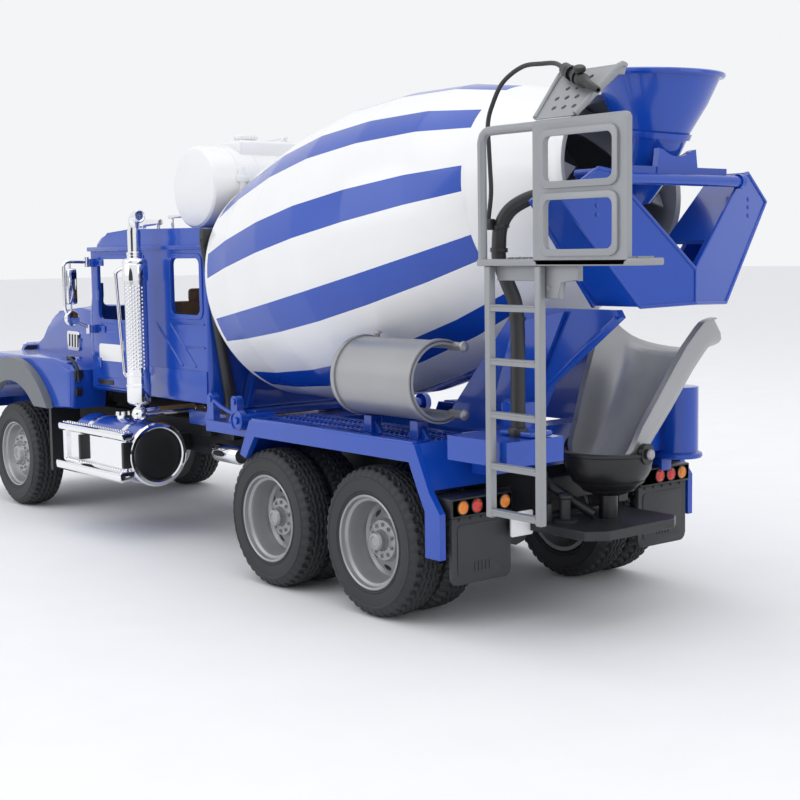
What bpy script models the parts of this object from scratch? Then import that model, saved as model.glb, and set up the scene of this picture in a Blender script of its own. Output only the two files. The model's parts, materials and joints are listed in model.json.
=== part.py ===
"""Toy cement mixer truck, 1:16, built as separate named pieces.

Lengths below are millimetres; MM turns them into Blender's metres.
X points to the truck's left, Y to its rear, Z up. The ground is Z = 0.
"""

import math

import bmesh
import bpy
from mathutils import Matrix, Vector

MM = 0.001

# Driving dimensions.
WHEEL_RADIUS = 33.0
FRONT_AXLE_Y = -230.0
REAR_AXLES_Y = (72.0, 150.0)
FRONT_WHEEL_X = 58.5
DUAL_WHEEL_OUTER_X = 77.4
TRUCK_FRONT_Y = -303.0
TRUCK_REAR_Y = 303.0
RAIL_X = (22.0, 28.0)
RAIL_Z = (46.0, 64.0)
CAB_HALF_WIDTH = 52.0
CAB_REAR_Y = -17.5
CAB_ROOF_Z = 169.5
DOOR_Y = (-148.0, -86.0)
DRUM_TILT = math.radians(11.2)
DRUM_FRONT = Vector((0.0, -6.0, 140.5))
DRUM_MOUTH_RADIUS = 35.5
DRUM_LENGTH = 238.0
TANK_AXIS = (-44.0, 194.0)
TANK_RADIUS = 22.3
CHUTE_PIVOT = Vector((2.0, 221.0, 73.0))
CHUTE_TURN = math.radians(97.0)
CHUTE_SLOPE = math.radians(53.0)
GAP = 0.3
HOOD_PIVOT = Vector((0.0, -284.0, 52.0))
STEERING_CENTRE = Vector((24.0, -128.0, 119.0))
STEERING_TILT = math.radians(35.0)

SIDES = (("left", 1), ("right", -1))

for old in list(bpy.data.objects):
    bpy.data.objects.remove(old, do_unlink=True)

truck = bpy.data.collections.new("toy_cement_mixer")
cutters = bpy.data.collections.new("cutters")
bpy.context.scene.collection.children.link(truck)
bpy.context.scene.collection.children.link(cutters)


def material(name, colour, roughness, metallic=0.0):
    made = bpy.data.materials.new(name)
    made.use_nodes = True
    shader = made.node_tree.nodes["Principled BSDF"]
    shader.inputs["Base Color"].default_value = (*colour, 1.0)
    shader.inputs["Roughness"].default_value = roughness
    shader.inputs["Metallic"].default_value = metallic
    return made


BLUE = material("gloss_blue", (0.012, 0.075, 0.46), 0.22)
WHITE = material("gloss_white", (0.82, 0.83, 0.84), 0.2)
SILVER = material("silver_plastic", (0.42, 0.43, 0.44), 0.35, 0.3)
GREY = material("ladder_grey", (0.36, 0.37, 0.38), 0.4)
DARK = material("chassis_grey", (0.035, 0.036, 0.038), 0.5)
BLACK = material("black_plastic", (0.012, 0.012, 0.013), 0.4)
RUBBER = material("tyre_rubber", (0.03, 0.03, 0.032), 0.7)
CHROME = material("chrome", (0.9, 0.9, 0.91), 0.06, 1.0)
TAN = material("tan_interior", (0.36, 0.2, 0.09), 0.6)


def place(name, mesh, origin, paint, cutter=False):
    """Link a mesh made in world millimetres, with its origin moved to `origin`."""
    origin = Vector(origin)
    mesh.transform(Matrix.Translation(-origin))
    mesh.transform(Matrix.Scale(MM, 4))
    made = bpy.data.objects.new(name, mesh)
    made.location = origin * MM
    if paint:
        mesh.materials.append(paint)
    (cutters if cutter else truck).objects.link(made)
    if cutter:
        made.hide_render = True
        made.display_type = "WIRE"
    return made


def mesh_from(bm, name):
    bmesh.ops.recalc_face_normals(bm, faces=bm.faces)
    mesh = bpy.data.meshes.new(name)
    bm.to_mesh(mesh)
    bm.free()
    return mesh


def box_mesh(name, x, y, z):
    bm = bmesh.new()
    size = Vector((x[1] - x[0], y[1] - y[0], z[1] - z[0]))
    middle = Vector((sum(x) / 2, sum(y) / 2, sum(z) / 2))
    shape = Matrix.Translation(middle) @ Matrix.Diagonal((*size, 1.0))
    bmesh.ops.create_cube(bm, size=1.0, matrix=shape)
    return mesh_from(bm, name)


def prism_mesh(name, outline, axis, low, high):
    """Extrude a flat outline along X, Y or Z. Outline points skip that axis."""
    index = "XYZ".index(axis)

    def corner(point, along):
        values = list(point)
        values.insert(index, along)
        return Vector(values)

    bm = bmesh.new()
    face = bm.faces.new([bm.verts.new(corner(point, low)) for point in outline])
    grown = bmesh.ops.extrude_face_region(bm, geom=[face])
    moved = [item for item in grown["geom"] if isinstance(item, bmesh.types.BMVert)]
    shift = corner((0.0, 0.0), high - low)
    bmesh.ops.translate(bm, verts=moved, vec=shift)
    return mesh_from(bm, name)


def rod_mesh(name, start, end, radius, sides=16, radius_end=None):
    start = Vector(start)
    end = Vector(end)
    turn = (end - start).to_track_quat("Z", "Y").to_matrix().to_4x4()
    middle = Matrix.Translation((start + end) / 2)
    bm = bmesh.new()
    bmesh.ops.create_cone(
        bm,
        cap_ends=True,
        segments=sides,
        radius1=radius,
        radius2=radius if radius_end is None else radius_end,
        depth=(end - start).length,
        matrix=middle @ turn,
    )
    return mesh_from(bm, name)


def box(name, x, y, z, paint=None, origin=(0, 0, 0), cutter=False):
    return place(name, box_mesh(name, x, y, z), origin, paint, cutter)


def prism(name, outline, axis, low, high, paint=None, origin=(0, 0, 0), cutter=False):
    return place(name, prism_mesh(name, outline, axis, low, high), origin, paint, cutter)


def rod(name, start, end, radius, paint=None, origin=(0, 0, 0), cutter=False, sides=16, radius_end=None):
    mesh = rod_mesh(name, start, end, radius, sides, radius_end)
    return place(name, mesh, origin, paint, cutter)


def turned(name, outline, centre, direction, paint=None, steps=24, cutter=False):
    """Screw a closed (radius, along) outline about the line through `centre`."""
    area = 0.0
    for (r1, z1), (r2, z2) in zip(outline, outline[1:] + outline[:1]):
        area += r1 * z2 - r2 * z1
    points = outline if area < 0 else outline[::-1]
    mesh = bpy.data.meshes.new(name)
    verts = [(r * MM, 0.0, z * MM) for r, z in points]
    count = len(points)
    loop = [(i, (i + 1) % count) for i in range(count)]
    edges = [(a, b) for a, b in loop if points[a][0] > 0 or points[b][0] > 0]
    mesh.from_pydata(verts, edges, [])
    if paint:
        mesh.materials.append(paint)
    made = bpy.data.objects.new(name, mesh)
    made.location = Vector(centre) * MM
    up = Vector(direction).normalized()
    side = Vector((0, 0, -1)) if abs(up.z) < 0.9 else Vector((1, 0, 0))
    side = (side - up * side.dot(up)).normalized()
    basis = Matrix((side, up.cross(side), up)).transposed()
    made.rotation_euler = basis.to_euler()
    spin = made.modifiers.new("Screw", "SCREW")
    spin.axis = "Z"
    spin.angle = 2 * math.pi
    spin.steps = steps
    spin.render_steps = steps
    spin.use_merge_vertices = True
    spin.merge_threshold = 0.00001
    (cutters if cutter else truck).objects.link(made)
    if cutter:
        made.hide_render = True
        made.display_type = "WIRE"
    return made


def tube(name, points, radius, paint, resolution=2):
    """A round tube through a smooth curve of the given points."""
    curve = bpy.data.curves.new(name, "CURVE")
    curve.dimensions = "3D"
    curve.bevel_depth = radius * MM
    curve.bevel_resolution = resolution
    curve.use_fill_caps = True
    smooth = smooth_route(points, max(2.6 * radius, 6.5))
    line = curve.splines.new("POLY")
    line.points.add(len(smooth) - 1)
    for spot, point in zip(line.points, smooth):
        spot.co = (*(point * MM), 1.0)
    curve.materials.append(paint)
    made = bpy.data.objects.new(name, curve)
    truck.objects.link(made)
    return made


def smooth_route(points, pitch):
    """Catmull-Rom points about `pitch` apart through the route's own points."""
    route = [Vector(point) for point in points]
    padded = [2 * route[0] - route[1]] + route + [2 * route[-1] - route[-2]]
    smooth = []
    for before, start, end, after in zip(padded, padded[1:], padded[2:], padded[3:]):
        count = max(2, round((end - start).length / pitch))
        for step in range(count):
            t = step / count
            smooth.append(
                0.5
                * (
                    2 * start
                    + (end - before) * t
                    + (2 * before - 5 * start + 4 * end - after) * t * t
                    + (3 * start - 3 * end + after - before) * t * t * t
                )
            )
    smooth.append(route[-1])
    return smooth


def combine(target, kind, others):
    for other in others:
        step = target.modifiers.new(kind.title(), "BOOLEAN")
        step.operation = kind
        step.object = other
    return target


def join(target, *others):
    return combine(target, "UNION", others)


def cut(target, *others):
    return combine(target, "DIFFERENCE", others)


def arc(centre, radius, start, end, count):
    """Points of a circle in a flat outline, angles in degrees."""
    points = []
    for step in range(count + 1):
        angle = math.radians(start + (end - start) * step / count)
        points.append((centre[0] + radius * math.cos(angle), centre[1] + radius * math.sin(angle)))
    return points


def mirrored(x, side):
    return (x[0], x[1]) if side > 0 else (-x[1], -x[0])


# ---------------------------------------------------------------- chassis
chassis = box("chassis_frame", RAIL_X, (-287.0, 205.0), RAIL_Z, DARK)
members = [box("rail_right", (-28.0, -22.0), (-287.0, 205.0), RAIL_Z, cutter=True)]
for side_name, side in SIDES:
    members.append(
        box(
            "bumper_arm_" + side_name, mirrored((22.5, 27.5), side), (-291.0, -280.0),
            (44.0, 50.5), cutter=True,
        )
    )
for place_y in (-276.0, -160.0, -60.0, 30.0, 111.0, 196.0):
    name = "crossmember_%03d" % (place_y + 300)
    members.append(box(name, (-24.0, 24.0), (place_y - 4, place_y + 4), (50.0, 60.0), cutter=True))
members.append(box("flap_beam", (-70.0, 70.0), (184.2, 187.8), (50.5, 56.5), cutter=True))
join(chassis, *members)

front_axle = rod(
    "front_axle", (-60.0, FRONT_AXLE_Y, WHEEL_RADIUS), (60.0, FRONT_AXLE_Y, WHEEL_RADIUS), 3.0,
    DARK, sides=12,
)
axle_parts = [
    box("axle_beam", (-34.0, 34.0), (FRONT_AXLE_Y - 4, FRONT_AXLE_Y + 4), (29.0, 37.0), cutter=True)
]
for side_name, side in SIDES:
    spring_y = (FRONT_AXLE_Y - 16, FRONT_AXLE_Y + 16)
    axle_parts.append(
        box("front_spring_" + side_name, mirrored((21.0, 29.0), side), spring_y, (36.0, 45.7), cutter=True)
    )
join(front_axle, *axle_parts)

for number, axle_y in enumerate(REAR_AXLES_Y, 1):
    shaft = rod("rear_axle_%d" % number, (-68.0, axle_y, 33.0), (68.0, axle_y, 33.0), 3.0, DARK, sides=12)
    parts = [
        rod(
            "differential_%d" % number, (0, axle_y - 12, 33.0), (0, axle_y + 12, 33.0), 10.0,
            cutter=True, sides=12,
        )
    ]
    for side_name, side in SIDES:
        name = "rear_spring_%d_%s" % (number, side_name)
        parts.append(
            box(name, mirrored((21.0, 29.0), side), (axle_y - 14, axle_y + 14), (35.0, 45.7), cutter=True)
        )
        parts.append(
            box(
                name + "_arm", mirrored((5.0, 28.0), side), (axle_y - 5, axle_y + 5), (28.5, 37.5),
                cutter=True,
            )
        )
    join(shaft, *parts)

engine = box("engine_block", (-17.0, 17.0), (-255.0, -192.0), (65.0, 92.0), DARK)
join(
    engine,
    box("engine_sump", (-12.0, 12.0), (-240.0, -198.0), (58.0, 67.0), cutter=True),
    box("engine_head", (-9.0, 9.0), (-248.0, -197.0), (90.0, 98.0), cutter=True),
    rod("engine_fan", (0, -262.0, 78.0), (0, -253.0, 78.0), 13.0, cutter=True, sides=16),
)

box("front_bumper", (-66.0, 66.0), (TRUCK_FRONT_Y, -291.3), (28.0, 50.5), CHROME)

tow_plate = prism(
    "tow_plate",
    [(-24, 199), (-24, 236), (-16, 242), (24, 242), (32, 236), (32, 199)],
    "Z",
    40.0,
    44.0,
    DARK,
)
join(
    tow_plate,
    box("tow_riser", (-20.0, 20.0), (199.0, 205.0), (43.0, 45.7), cutter=True),
    rod("tow_post_left", (21.0, 214.0, 43.0), (21.0, 214.0, 54.0), 2.6, cutter=True, sides=12),
)

# ---------------------------------------------------------------- wheels
FRONT_TYRE = [(20.5, -8.5), (29.5, -10.5), (33.0, -6.5), (33.0, 6.5), (29.5, 10.5), (20.5, 8.5)]
FRONT_RIM = [
    (0, 8), (5, 8), (6, 5), (11.5, 5), (11.5, 2), (17.2, 3), (18.4, 8.2), (20.2, 8.2),
    (20.2, -8.2), (18.4, -8.2), (17.2, -0.5), (8, -1), (8, -8.2), (3.3, -8.2), (3.3, 4), (0, 4),
]
DUAL_TYRE = [
    (20.5, -1.5), (29.5, 0), (33, -4), (33, -14), (29, -18), (23, -18.5),
    (23, -19.5), (29, -20), (33, -24), (33, -34), (29.5, -38), (20.5, -36.5),
]
DUAL_RIM = [
    (0, -4), (4, -4), (5, -7), (9, -8), (9, -12.5), (15.8, -13.5), (18.4, -1), (20.2, -1),
    (20.2, -37), (18.4, -37), (16.8, -16), (8, -15.5), (8, -30), (3.3, -30), (3.3, -7.5), (0, -7.5),
]
for side_name, side in SIDES:
    outward = (side, 0, 0)
    centre = (side * FRONT_WHEEL_X, FRONT_AXLE_Y, WHEEL_RADIUS)
    turned("front_tyre_" + side_name, FRONT_TYRE, centre, outward, RUBBER)
    turned("front_rim_" + side_name, FRONT_RIM, centre, outward, SILVER, steps=20)
    for number, axle_y in enumerate(REAR_AXLES_Y, 1):
        centre = (side * DUAL_WHEEL_OUTER_X, axle_y, WHEEL_RADIUS)
        turned("dual_tyre_%d_%s" % (number, side_name), DUAL_TYRE, centre, outward, RUBBER)
        turned("dual_rim_%d_%s" % (number, side_name), DUAL_RIM, centre, outward, SILVER, steps=20)

# ---------------------------------------------------------------- cab
CAB_OUTLINE = [
    (-153.0, 78.0), (CAB_REAR_Y, 78.0), (CAB_REAR_Y, 165.0), (CAB_REAR_Y - 5, CAB_ROOF_Z),
    (-134.0, CAB_ROOF_Z), (-141.0, 165.5), (-153.0, 124.0),
]
CAB_INSIDE = [
    (-151.0, 70.0), (CAB_REAR_Y - 2, 70.0), (CAB_REAR_Y - 2, 164.0), (CAB_REAR_Y - 6, 167.3),
    (-133.5, 167.3), (-139.0, 164.5), (-151.0, 123.5),
]
inner = CAB_HALF_WIDTH - 2.0
cab = prism("cab_shell", CAB_OUTLINE, "X", -CAB_HALF_WIDTH, CAB_HALF_WIDTH, BLUE)
cab_cuts = [
    prism("cab_room", CAB_INSIDE, "X", -inner, inner, cutter=True),
    box("windscreen_hole", (-44.0, 44.0), (-160.0, -136.0), (128.0, 160.0), cutter=True),
    box("rear_window_hole", (-26.0, 26.0), (-25.0, -10.0), (128.0, 156.0), cutter=True),
    box("door_holes", (-60.0, 60.0), DOOR_Y, (81.0, 162.0), cutter=True),
    box("side_window_holes", (-60.0, 60.0), (-54.0, -24.0), (126.0, 156.0), cutter=True),
]
cut(cab, *cab_cuts)

interior = box("cab_interior", (-49.6, 49.6), (-150.6, -20.0), (79.0, 81.5), TAN)
inside = [box("dashboard", (-49.4, 49.4), (-150.4, -137.0), (80.0, 117.0), cutter=True)]
for side_name, side in SIDES:
    inside.append(
        box(
            "seat_base_" + side_name, mirrored((8.0, 40.0), side), (-104.0, -66.0), (80.0, 97.0),
            cutter=True,
        )
    )
    inside.append(
        box(
            "seat_back_" + side_name, mirrored((9.0, 39.0), side), (-74.0, -65.0), (95.0, 132.0),
            cutter=True,
        )
    )
column = Vector((0.0, math.sin(STEERING_TILT), math.cos(STEERING_TILT)))
column_start = STEERING_CENTRE - column * 22.0
inside.append(
    rod("steering_column", column_start, STEERING_CENTRE - column * 1.8, 1.8, cutter=True, sides=10)
)
join(interior, *inside)

ring = [(r, z) for r, z in arc((11.0, 0.0), 1.3, 0, 300, 5)]
steering = turned("steering_wheel", ring, STEERING_CENTRE, column, BLACK, steps=20)
across = Vector((1.0, 0.0, 0.0))
down = column.cross(across)
join(
    steering,
    rod(
        "steering_hub", STEERING_CENTRE - column * 1.4, STEERING_CENTRE + column * 1.6, 3.2,
        cutter=True, sides=12,
    ),
    rod(
        "steering_spoke_1", STEERING_CENTRE - across * 11, STEERING_CENTRE + across * 11, 0.9,
        cutter=True, sides=8,
    ),
    rod("steering_spoke_2", STEERING_CENTRE, STEERING_CENTRE + down * 11, 0.9, cutter=True, sides=8),
)

for side_name, side in SIDES:
    hinge = (side * CAB_HALF_WIDTH, DOOR_Y[0], 120.0)
    door_x = mirrored((CAB_HALF_WIDTH - 1.7, CAB_HALF_WIDTH), side)
    door = box(
        "door_" + side_name, door_x, (DOOR_Y[0] + GAP, DOOR_Y[1] - GAP), (81.0 + GAP, 162.0 - GAP),
        BLUE, hinge,
    )
    window = box(
        "door_window_" + side_name, mirrored((40.0, 60.0), side), (-139.0, -94.0), (121.0, 156.0),
        cutter=True,
    )
    cut(door, window)
    pads = []
    for pad_z in (115.0, 154.0):
        name = "mirror_pad_%s_%d" % (side_name, pad_z)
        pads.append(
            box(
                name, mirrored((51.0, 55.0), side), (-147.0, -140.5), (pad_z - 2.5, pad_z + 2.5),
                cutter=True,
            )
        )
    join(door, *pads)

    post = Vector((side * 57.0, -143.5, 135.0))
    mirror = rod(
        "mirror_" + side_name, post + Vector((0, 0, -20.5)), post + Vector((0, 0, 20.5)), 1.2,
        CHROME, post, sides=10,
    )
    arms = [
        rod(
            "mirror_top_" + side_name, (side * 56.5, -143.5, 154.5), (side * 76, -141.5, 154.5),
            1.2, cutter=True, sides=10,
        ),
        rod(
            "mirror_side_" + side_name, (side * 75.6, -141.5, 155.5), (side * 75.6, -141.5, 126),
            1.2, cutter=True, sides=10,
        ),
        rod(
            "mirror_low_" + side_name, (side * 76, -141.6, 127), (side * 56.8, -143.4, 116), 1.2,
            cutter=True, sides=10,
        ),
        box(
            "mirror_case_" + side_name, mirrored((64.5, 76.0), side), (-144.0, -139.0),
            (130.0, 151.0), cutter=True,
        ),
        rod(
            "mirror_round_" + side_name, (side * 68.5, -144, 122), (side * 68.5, -139.5, 122), 4.6,
            cutter=True, sides=16,
        ),
    ]
    join(mirror, *arms)

# ---------------------------------------------------------------- hood
HOOD_TOP = [
    (-154.0, 88.0), (-154.0, 126.5), (-190.0, 126.0), (-228.0, 123.0), (-246.0, 118.0), (-253.0, 111.5),
    (-263.0, 104.0), (-272.0, 97.0), (-283.0, 94.0), (-290.0, 89.0), (-290.0, 60.0),
]
HOOD_INSIDE = [
    (-150.0, 92.0), (-150.0, 124.0), (-190.0, 123.4), (-227.0, 120.4), (-243.5, 115.8), (-250.0, 109.5),
    (-261.0, 101.5), (-270.0, 92.0),
]
ENGINE_BAY = [(-150.0, 40.0), (-150.0, 93.0), (-279.0, 93.0), (-287.8, 86.5), (-287.8, 40.0)]
HOOD_TAPER = 0.0029  # share of its width that the hood loses for each millimetre ahead of the cowl


def taper(thing):
    """Draw the hood's sides in towards its nose."""
    for vert in thing.data.vertices:
        ahead = -154.0 - (thing.location.y + vert.co.y) / MM
        vert.co.x *= 1.0 - HOOD_TAPER * ahead
    return thing

FENDER = [(-156.0, 67.0), (-154.0, 92.0), (-178.0, 96.0), (-275.0, 96.0), (-286.0, 88.0), (-290.0, 58.0)]
hood = taper(prism("hood", HOOD_TOP, "X", -44.0, 44.0, BLUE, HOOD_PIVOT))
join(hood, prism("fender_block", FENDER, "X", -64.6, 64.6, cutter=True))
arch_centre = (FRONT_AXLE_Y, 35.0)
arch = [(arch_centre[0] - 45.0, 20.0)] + arc(arch_centre, 45.0, 180, 0, 14) + [(arch_centre[0] + 45.0, 20.0)]
hood_cuts = [
    taper(prism("crown_inside", HOOD_INSIDE, "X", -41.5, 41.5, cutter=True)),
    prism("engine_bay", ENGINE_BAY, "X", -41.3, 41.3, cutter=True),
]
for side_name, side in SIDES:
    low, high = mirrored((43.5, 80.0), side)
    hood_cuts.append(prism("wheel_arch_" + side_name, arch, "X", low, high, cutter=True))
    low, high = mirrored((43.5, 62.2), side)
    hood_cuts.append(
        box("fender_room_" + side_name, mirrored((43.5, 80.0), side), (-186.5, -182.7), (30.0, 66.4), cutter=True)
    )
    hood_cuts.append(
        box("fender_well_" + side_name, (low, high), (-186.5, -158.5), (40.0, 89.0), cutter=True)
    )
    hood_cuts.append(
        box("headlight_room_" + side_name, (low, high), (-287.0, -262.0), (40.0, 86.0), cutter=True)
    )
cut(hood, *hood_cuts)

grille = box("radiator_grille", (-32.0, 32.0), (-293.0, -290.3), (62.0, 98.0), CHROME, HOOD_PIVOT)
grille_slots = []
for step in range(6):
    z = 66.0 + 5.2 * step
    grille_slots.append(
        box("grille_slot_%d" % step, (-28.0, 28.0), (-300.0, -285.0), (z, z + 2.8), cutter=True)
    )
cut(grille, *grille_slots)

for side_name, side in SIDES:
    flare_outline = arc(arch_centre, 60.0, 180, 31, 18) + arc(arch_centre, 45.3, 43, 180, 16)
    low, high = mirrored((64.9, 69.5), side)
    prism("fender_flare_" + side_name, flare_outline, "X", low, high, GREY, HOOD_PIVOT)

splash = box("splash_guard", (-64.0, 64.0), (-186.0, -183.2), (40.0, 45.6), BLACK)
for side_name, side in SIDES:
    panel = box(
        "splash_panel_" + side_name, mirrored((45.0, 64.4), side), (-186.2, -183.0), (27.0, 66.0),
        cutter=True,
    )
    join(splash, panel)

# ---------------------------------------------------------------- tanks, steps and stacks
for side_name, side in SIDES:
    tank_x = side * 57.5
    tank = rod(
        "fuel_tank_" + side_name, (tank_x, -140.0, 48.0), (tank_x, -64.0, 48.0), 17.3, BLUE, sides=28,
    )
    tank_feet = []
    for foot_y in (-126.0, -82.0):
        name = "tank_foot_%s_%d" % (side_name, -foot_y)
        tank_feet.append(
            box(name, mirrored((28.3, 44.0), side), (foot_y - 4, foot_y + 4), (46.5, 56.0), cutter=True)
        )
    join(tank, *tank_feet)
    step_outline = [
        (73.6, 62.0), (80.5, 62.0), (80.5, 59.0), (77.5, 57.5), (77.5, 42.0), (82.5, 39.0),
        (82.5, 35.0), (73.6, 34.5), (73.6, 37.0), (75.6, 40.5), (75.6, 57.5), (73.6, 59.5),
    ]
    outline = [(side * x, z) for x, z in step_outline]
    prism("tank_steps_" + side_name, outline, "Y", -142.0, -62.0, CHROME)

    stack_x = side * 64.5
    stack_y = -71.0
    profile = [
        (0, 66.5), (4.6, 68.0), (6.0, 71.5), (4.6, 76.0), (7.0, 77.0), (7.0, 156.0), (3.7, 158.0),
        (3.7, 180.0), (2.9, 180.0), (2.9, 100.0), (0, 100.0),
    ]
    stack = turned(
        "exhaust_stack_" + side_name, profile, (stack_x, stack_y, 0), (0, 0, 1), CHROME, steps=20,
    )
    pipe = rod(
        "exhaust_elbow_" + side_name, (stack_x, stack_y, 71.5), (side * 29.0, stack_y, 71.5), 3.2,
        cutter=True, sides=12,
    )
    foot = box(
        "exhaust_foot_" + side_name, mirrored((24.0, 31.0), side), (-75.0, -67.0), (64.3, 73.0),
        cutter=True,
    )
    join(stack, pipe, foot)

# ---------------------------------------------------------------- subframe, fenders and pedestals
subframe = box("subframe", (22.0, 39.7), (-60.0, 179.6), (64.3, 72.0), BLUE)
base_parts = [
    box("subframe_right", (-39.7, -22.0), (-60.0, 179.6), (64.3, 72.0), cutter=True),
    box("subframe_front", (-38.0, 38.0), (-14.0, 24.0), (65.0, 71.0), cutter=True),
    box("subframe_rear", (-38.0, 38.0), (120.0, 178.0), (65.0, 71.0), cutter=True),
]
for side_name, side in SIDES:
    base_parts.append(
        box(
            "front_wing_" + side_name, mirrored((36.0, 58.0), side), (-12.0, 30.0), (66.0, 71.8),
            cutter=True,
        )
    )
    for clevis_y in (-9.0, 14.0):
        outline = [(clevis_y - 3, 70.0)] + arc((clevis_y, 83.0), 3.0, 180, 0, 6) + [(clevis_y + 3, 70.0)]
        low, high = mirrored((53.0, 57.0), side)
        name = "clevis_%s_%d" % (side_name, clevis_y + 10)
        base_parts.append(prism(name, outline, "X", low, high, cutter=True))
    name = "crank_boss_" + side_name
    base_parts.append(rod(name, (side * 40, 24, 74.5), (side * 60.5, 24, 74.5), 3.0, cutter=True, sides=12))
    base_parts.append(
        rod(name + "_disc", (side * 58.5, 24, 74.5), (side * 61.5, 24, 74.5), 5.2, cutter=True, sides=16)
    )
join(subframe, *base_parts)

DECK = [
    (52.0, 62.0), (61.0, 79.2), (184.0, 79.2), (192.0, 60.5), (190.0, 59.8), (182.6, 77.2),
    (62.3, 77.2), (53.8, 61.0),
]
SKIRT = [
    (52.0, 62.0), (61.0, 79.2), (184.0, 79.2), (193.5, 60.0), (200.0, 52.0), (200.0, 33.0), (190.5, 33.0),
    (190.5, 52.0), (187.0, 58.5), (180.5, 71.5), (65.0, 71.5), (57.0, 60.5),
]
for side_name, side in SIDES:
    low, high = mirrored((40.0, 77.0), side)
    fender = prism("rear_fender_" + side_name, DECK, "X", low, high, BLUE)
    low, high = mirrored((75.2, 78.4), side)
    skirt = prism("fender_skirt_" + side_name, SKIRT, "X", low, high, cutter=True)
    join(fender, skirt)
    if side > 0:
        for post_y in (136.0, 168.0):
            name = "chute_post_%d" % post_y
            post_box = box(name, (59.0, 65.0), (post_y - 2.6, post_y + 2.6), (78.0, 86.4), cutter=True)
            join(fender, post_box)

for side_name, side in SIDES:
    bar = box("mud_flap_" + side_name, mirrored((39.8, 73.8), side), (188.1, 202.0), (49.6, 58.0), BLACK)
    flap = box(
        "flap_sheet_" + side_name, mirrored((39.8, 72.6), side), (198.6, 200.8), (21.6, 51.0),
        cutter=True,
    )
    join(bar, flap)

axis = Vector((0.0, math.cos(DRUM_TILT), math.sin(DRUM_TILT)))
front_pedestal = prism(
    "front_pedestal",
    [(-34.0, 72.3), (34.0, 72.3), (15.0, 146.0), (8.0, 153.0), (-8.0, 153.0), (-15.0, 146.0)],
    "Y",
    -16.9,
    -12.4,
    BLUE,
)
join(
    front_pedestal,
    rod("gearbox", DRUM_FRONT - axis * 8.0, DRUM_FRONT + axis * 6.5, 11.0, cutter=True, sides=20),
    rod("drum_shaft", DRUM_FRONT, DRUM_FRONT + axis * 15.0, 4.0, cutter=True, sides=14),
    box("pedestal_foot", (-34.0, 34.0), (-16.9, -1.0), (72.3, 75.5), cutter=True),
)

PEDESTAL_LEFT = [
    (146.0, 79.6), (192.0, 130.5), (214.0, 134.0), (252.0, 134.0), (254.0, 131.0), (216.0, 103.0),
    (203.0, 79.6),
]
PEDESTAL_RIGHT = [(146.0, 79.6), (187.0, 125.0), (189.0, 79.6)]
rear_pedestal = prism("rear_pedestal", PEDESTAL_LEFT, "X", 27.5, 31.0, BLUE)
pedestal_parts = [
    prism("pedestal_right", PEDESTAL_RIGHT, "X", -31.0, -27.5, cutter=True),
    box("pedestal_beam", (-39.0, 39.0), (180.0, 194.0), (64.3, 82.0), cutter=True),
]
for side_name, side in SIDES:
    pedestal_parts.append(
        box(
            "corner_arm_" + side_name, mirrored((36.0, 55.0), side), (193.5, 204.0), (66.0, 76.0),
            cutter=True,
        )
    )
CORNER = (-60.0, 206.0)
pedestal_parts.append(rod("corner_drum", (*CORNER, 64.5), (*CORNER, 95.0), 9.6, cutter=True, sides=20))
pedestal_parts.append(rod("corner_flange", (*CORNER, 62.5), (*CORNER, 65.0), 10.8, cutter=True, sides=20))
pedestal_parts.append(box("pedestal_outrigger", (42.0, 73.0), (199.0, 234.0), (74.0, 84.0), cutter=True))
join(rear_pedestal, *pedestal_parts)

# ---------------------------------------------------------------- drum
DRUM = [
    (59.8, 0.0), (59.8, 2.4), (65.5, 30.0), (70.0, 65.0), (71.0, 98.0), (67.8, 133.0), (61.0, 168.0),
    (51.8, 196.0), (DRUM_MOUTH_RADIUS, 234.0), (DRUM_MOUTH_RADIUS, DRUM_LENGTH), (33.0, DRUM_LENGTH),
    (33.0, 233.0), (49.4, 195.0), (58.7, 167.0), (65.6, 132.0), (68.8, 98.0), (67.8, 66.0), (63.3, 31.0),
    (58.0, 10.0), (18.0, 11.5), (9.0, 18.0), (4.3, 18.0), (4.3, 8.0), (14.0, 8.0), (55.0, 5.5), (58.0, 0.0),
]
turned("drum", DRUM, DRUM_FRONT, axis, WHITE, steps=32)

# ---------------------------------------------------------------- hopper and collector
def ring_points(centre, radius, tilt, count):
    """A circle whose plane leans forward by `tilt` radians."""
    points = []
    for step in range(count):
        angle = 2 * math.pi * step / count
        flat = Vector((radius * math.cos(angle), radius * math.sin(angle), 0.0))
        points.append(Vector(centre) + Matrix.Rotation(tilt, 3, "X") @ flat)
    return points


def lofted(name, outer, inner, paint, origin=(0, 0, 0)):
    """A tube-like shell between matching rows of outer and inner rings."""
    rings = outer + inner[::-1]
    bm = bmesh.new()
    rows = [[bm.verts.new(point) for point in row] for row in rings]
    count = len(rings[0])
    for row, following in zip(rows, rows[1:] + rows[:1]):
        for step in range(count):
            after = (step + 1) % count
            bm.faces.new((row[step], row[after], following[after], following[step]))
    return place(name, mesh_from(bm, name), origin, paint)


HOPPER = [
    ((0, 245.5, 226), 26.2, 0.06), ((0, 243.5, 205), 14.6, 0.15), ((0, 240.5, 196), 12.0, 0.4),
    ((0, 232, 184), 11.0, 0.85),
]
hopper_outer = [ring_points(centre, radius, -tilt, 28) for centre, radius, tilt in HOPPER]
hopper_inner = [ring_points(centre, radius - 1.6, -tilt, 28) for centre, radius, tilt in HOPPER]
lofted("hopper", hopper_outer, hopper_inner, BLUE)

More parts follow.
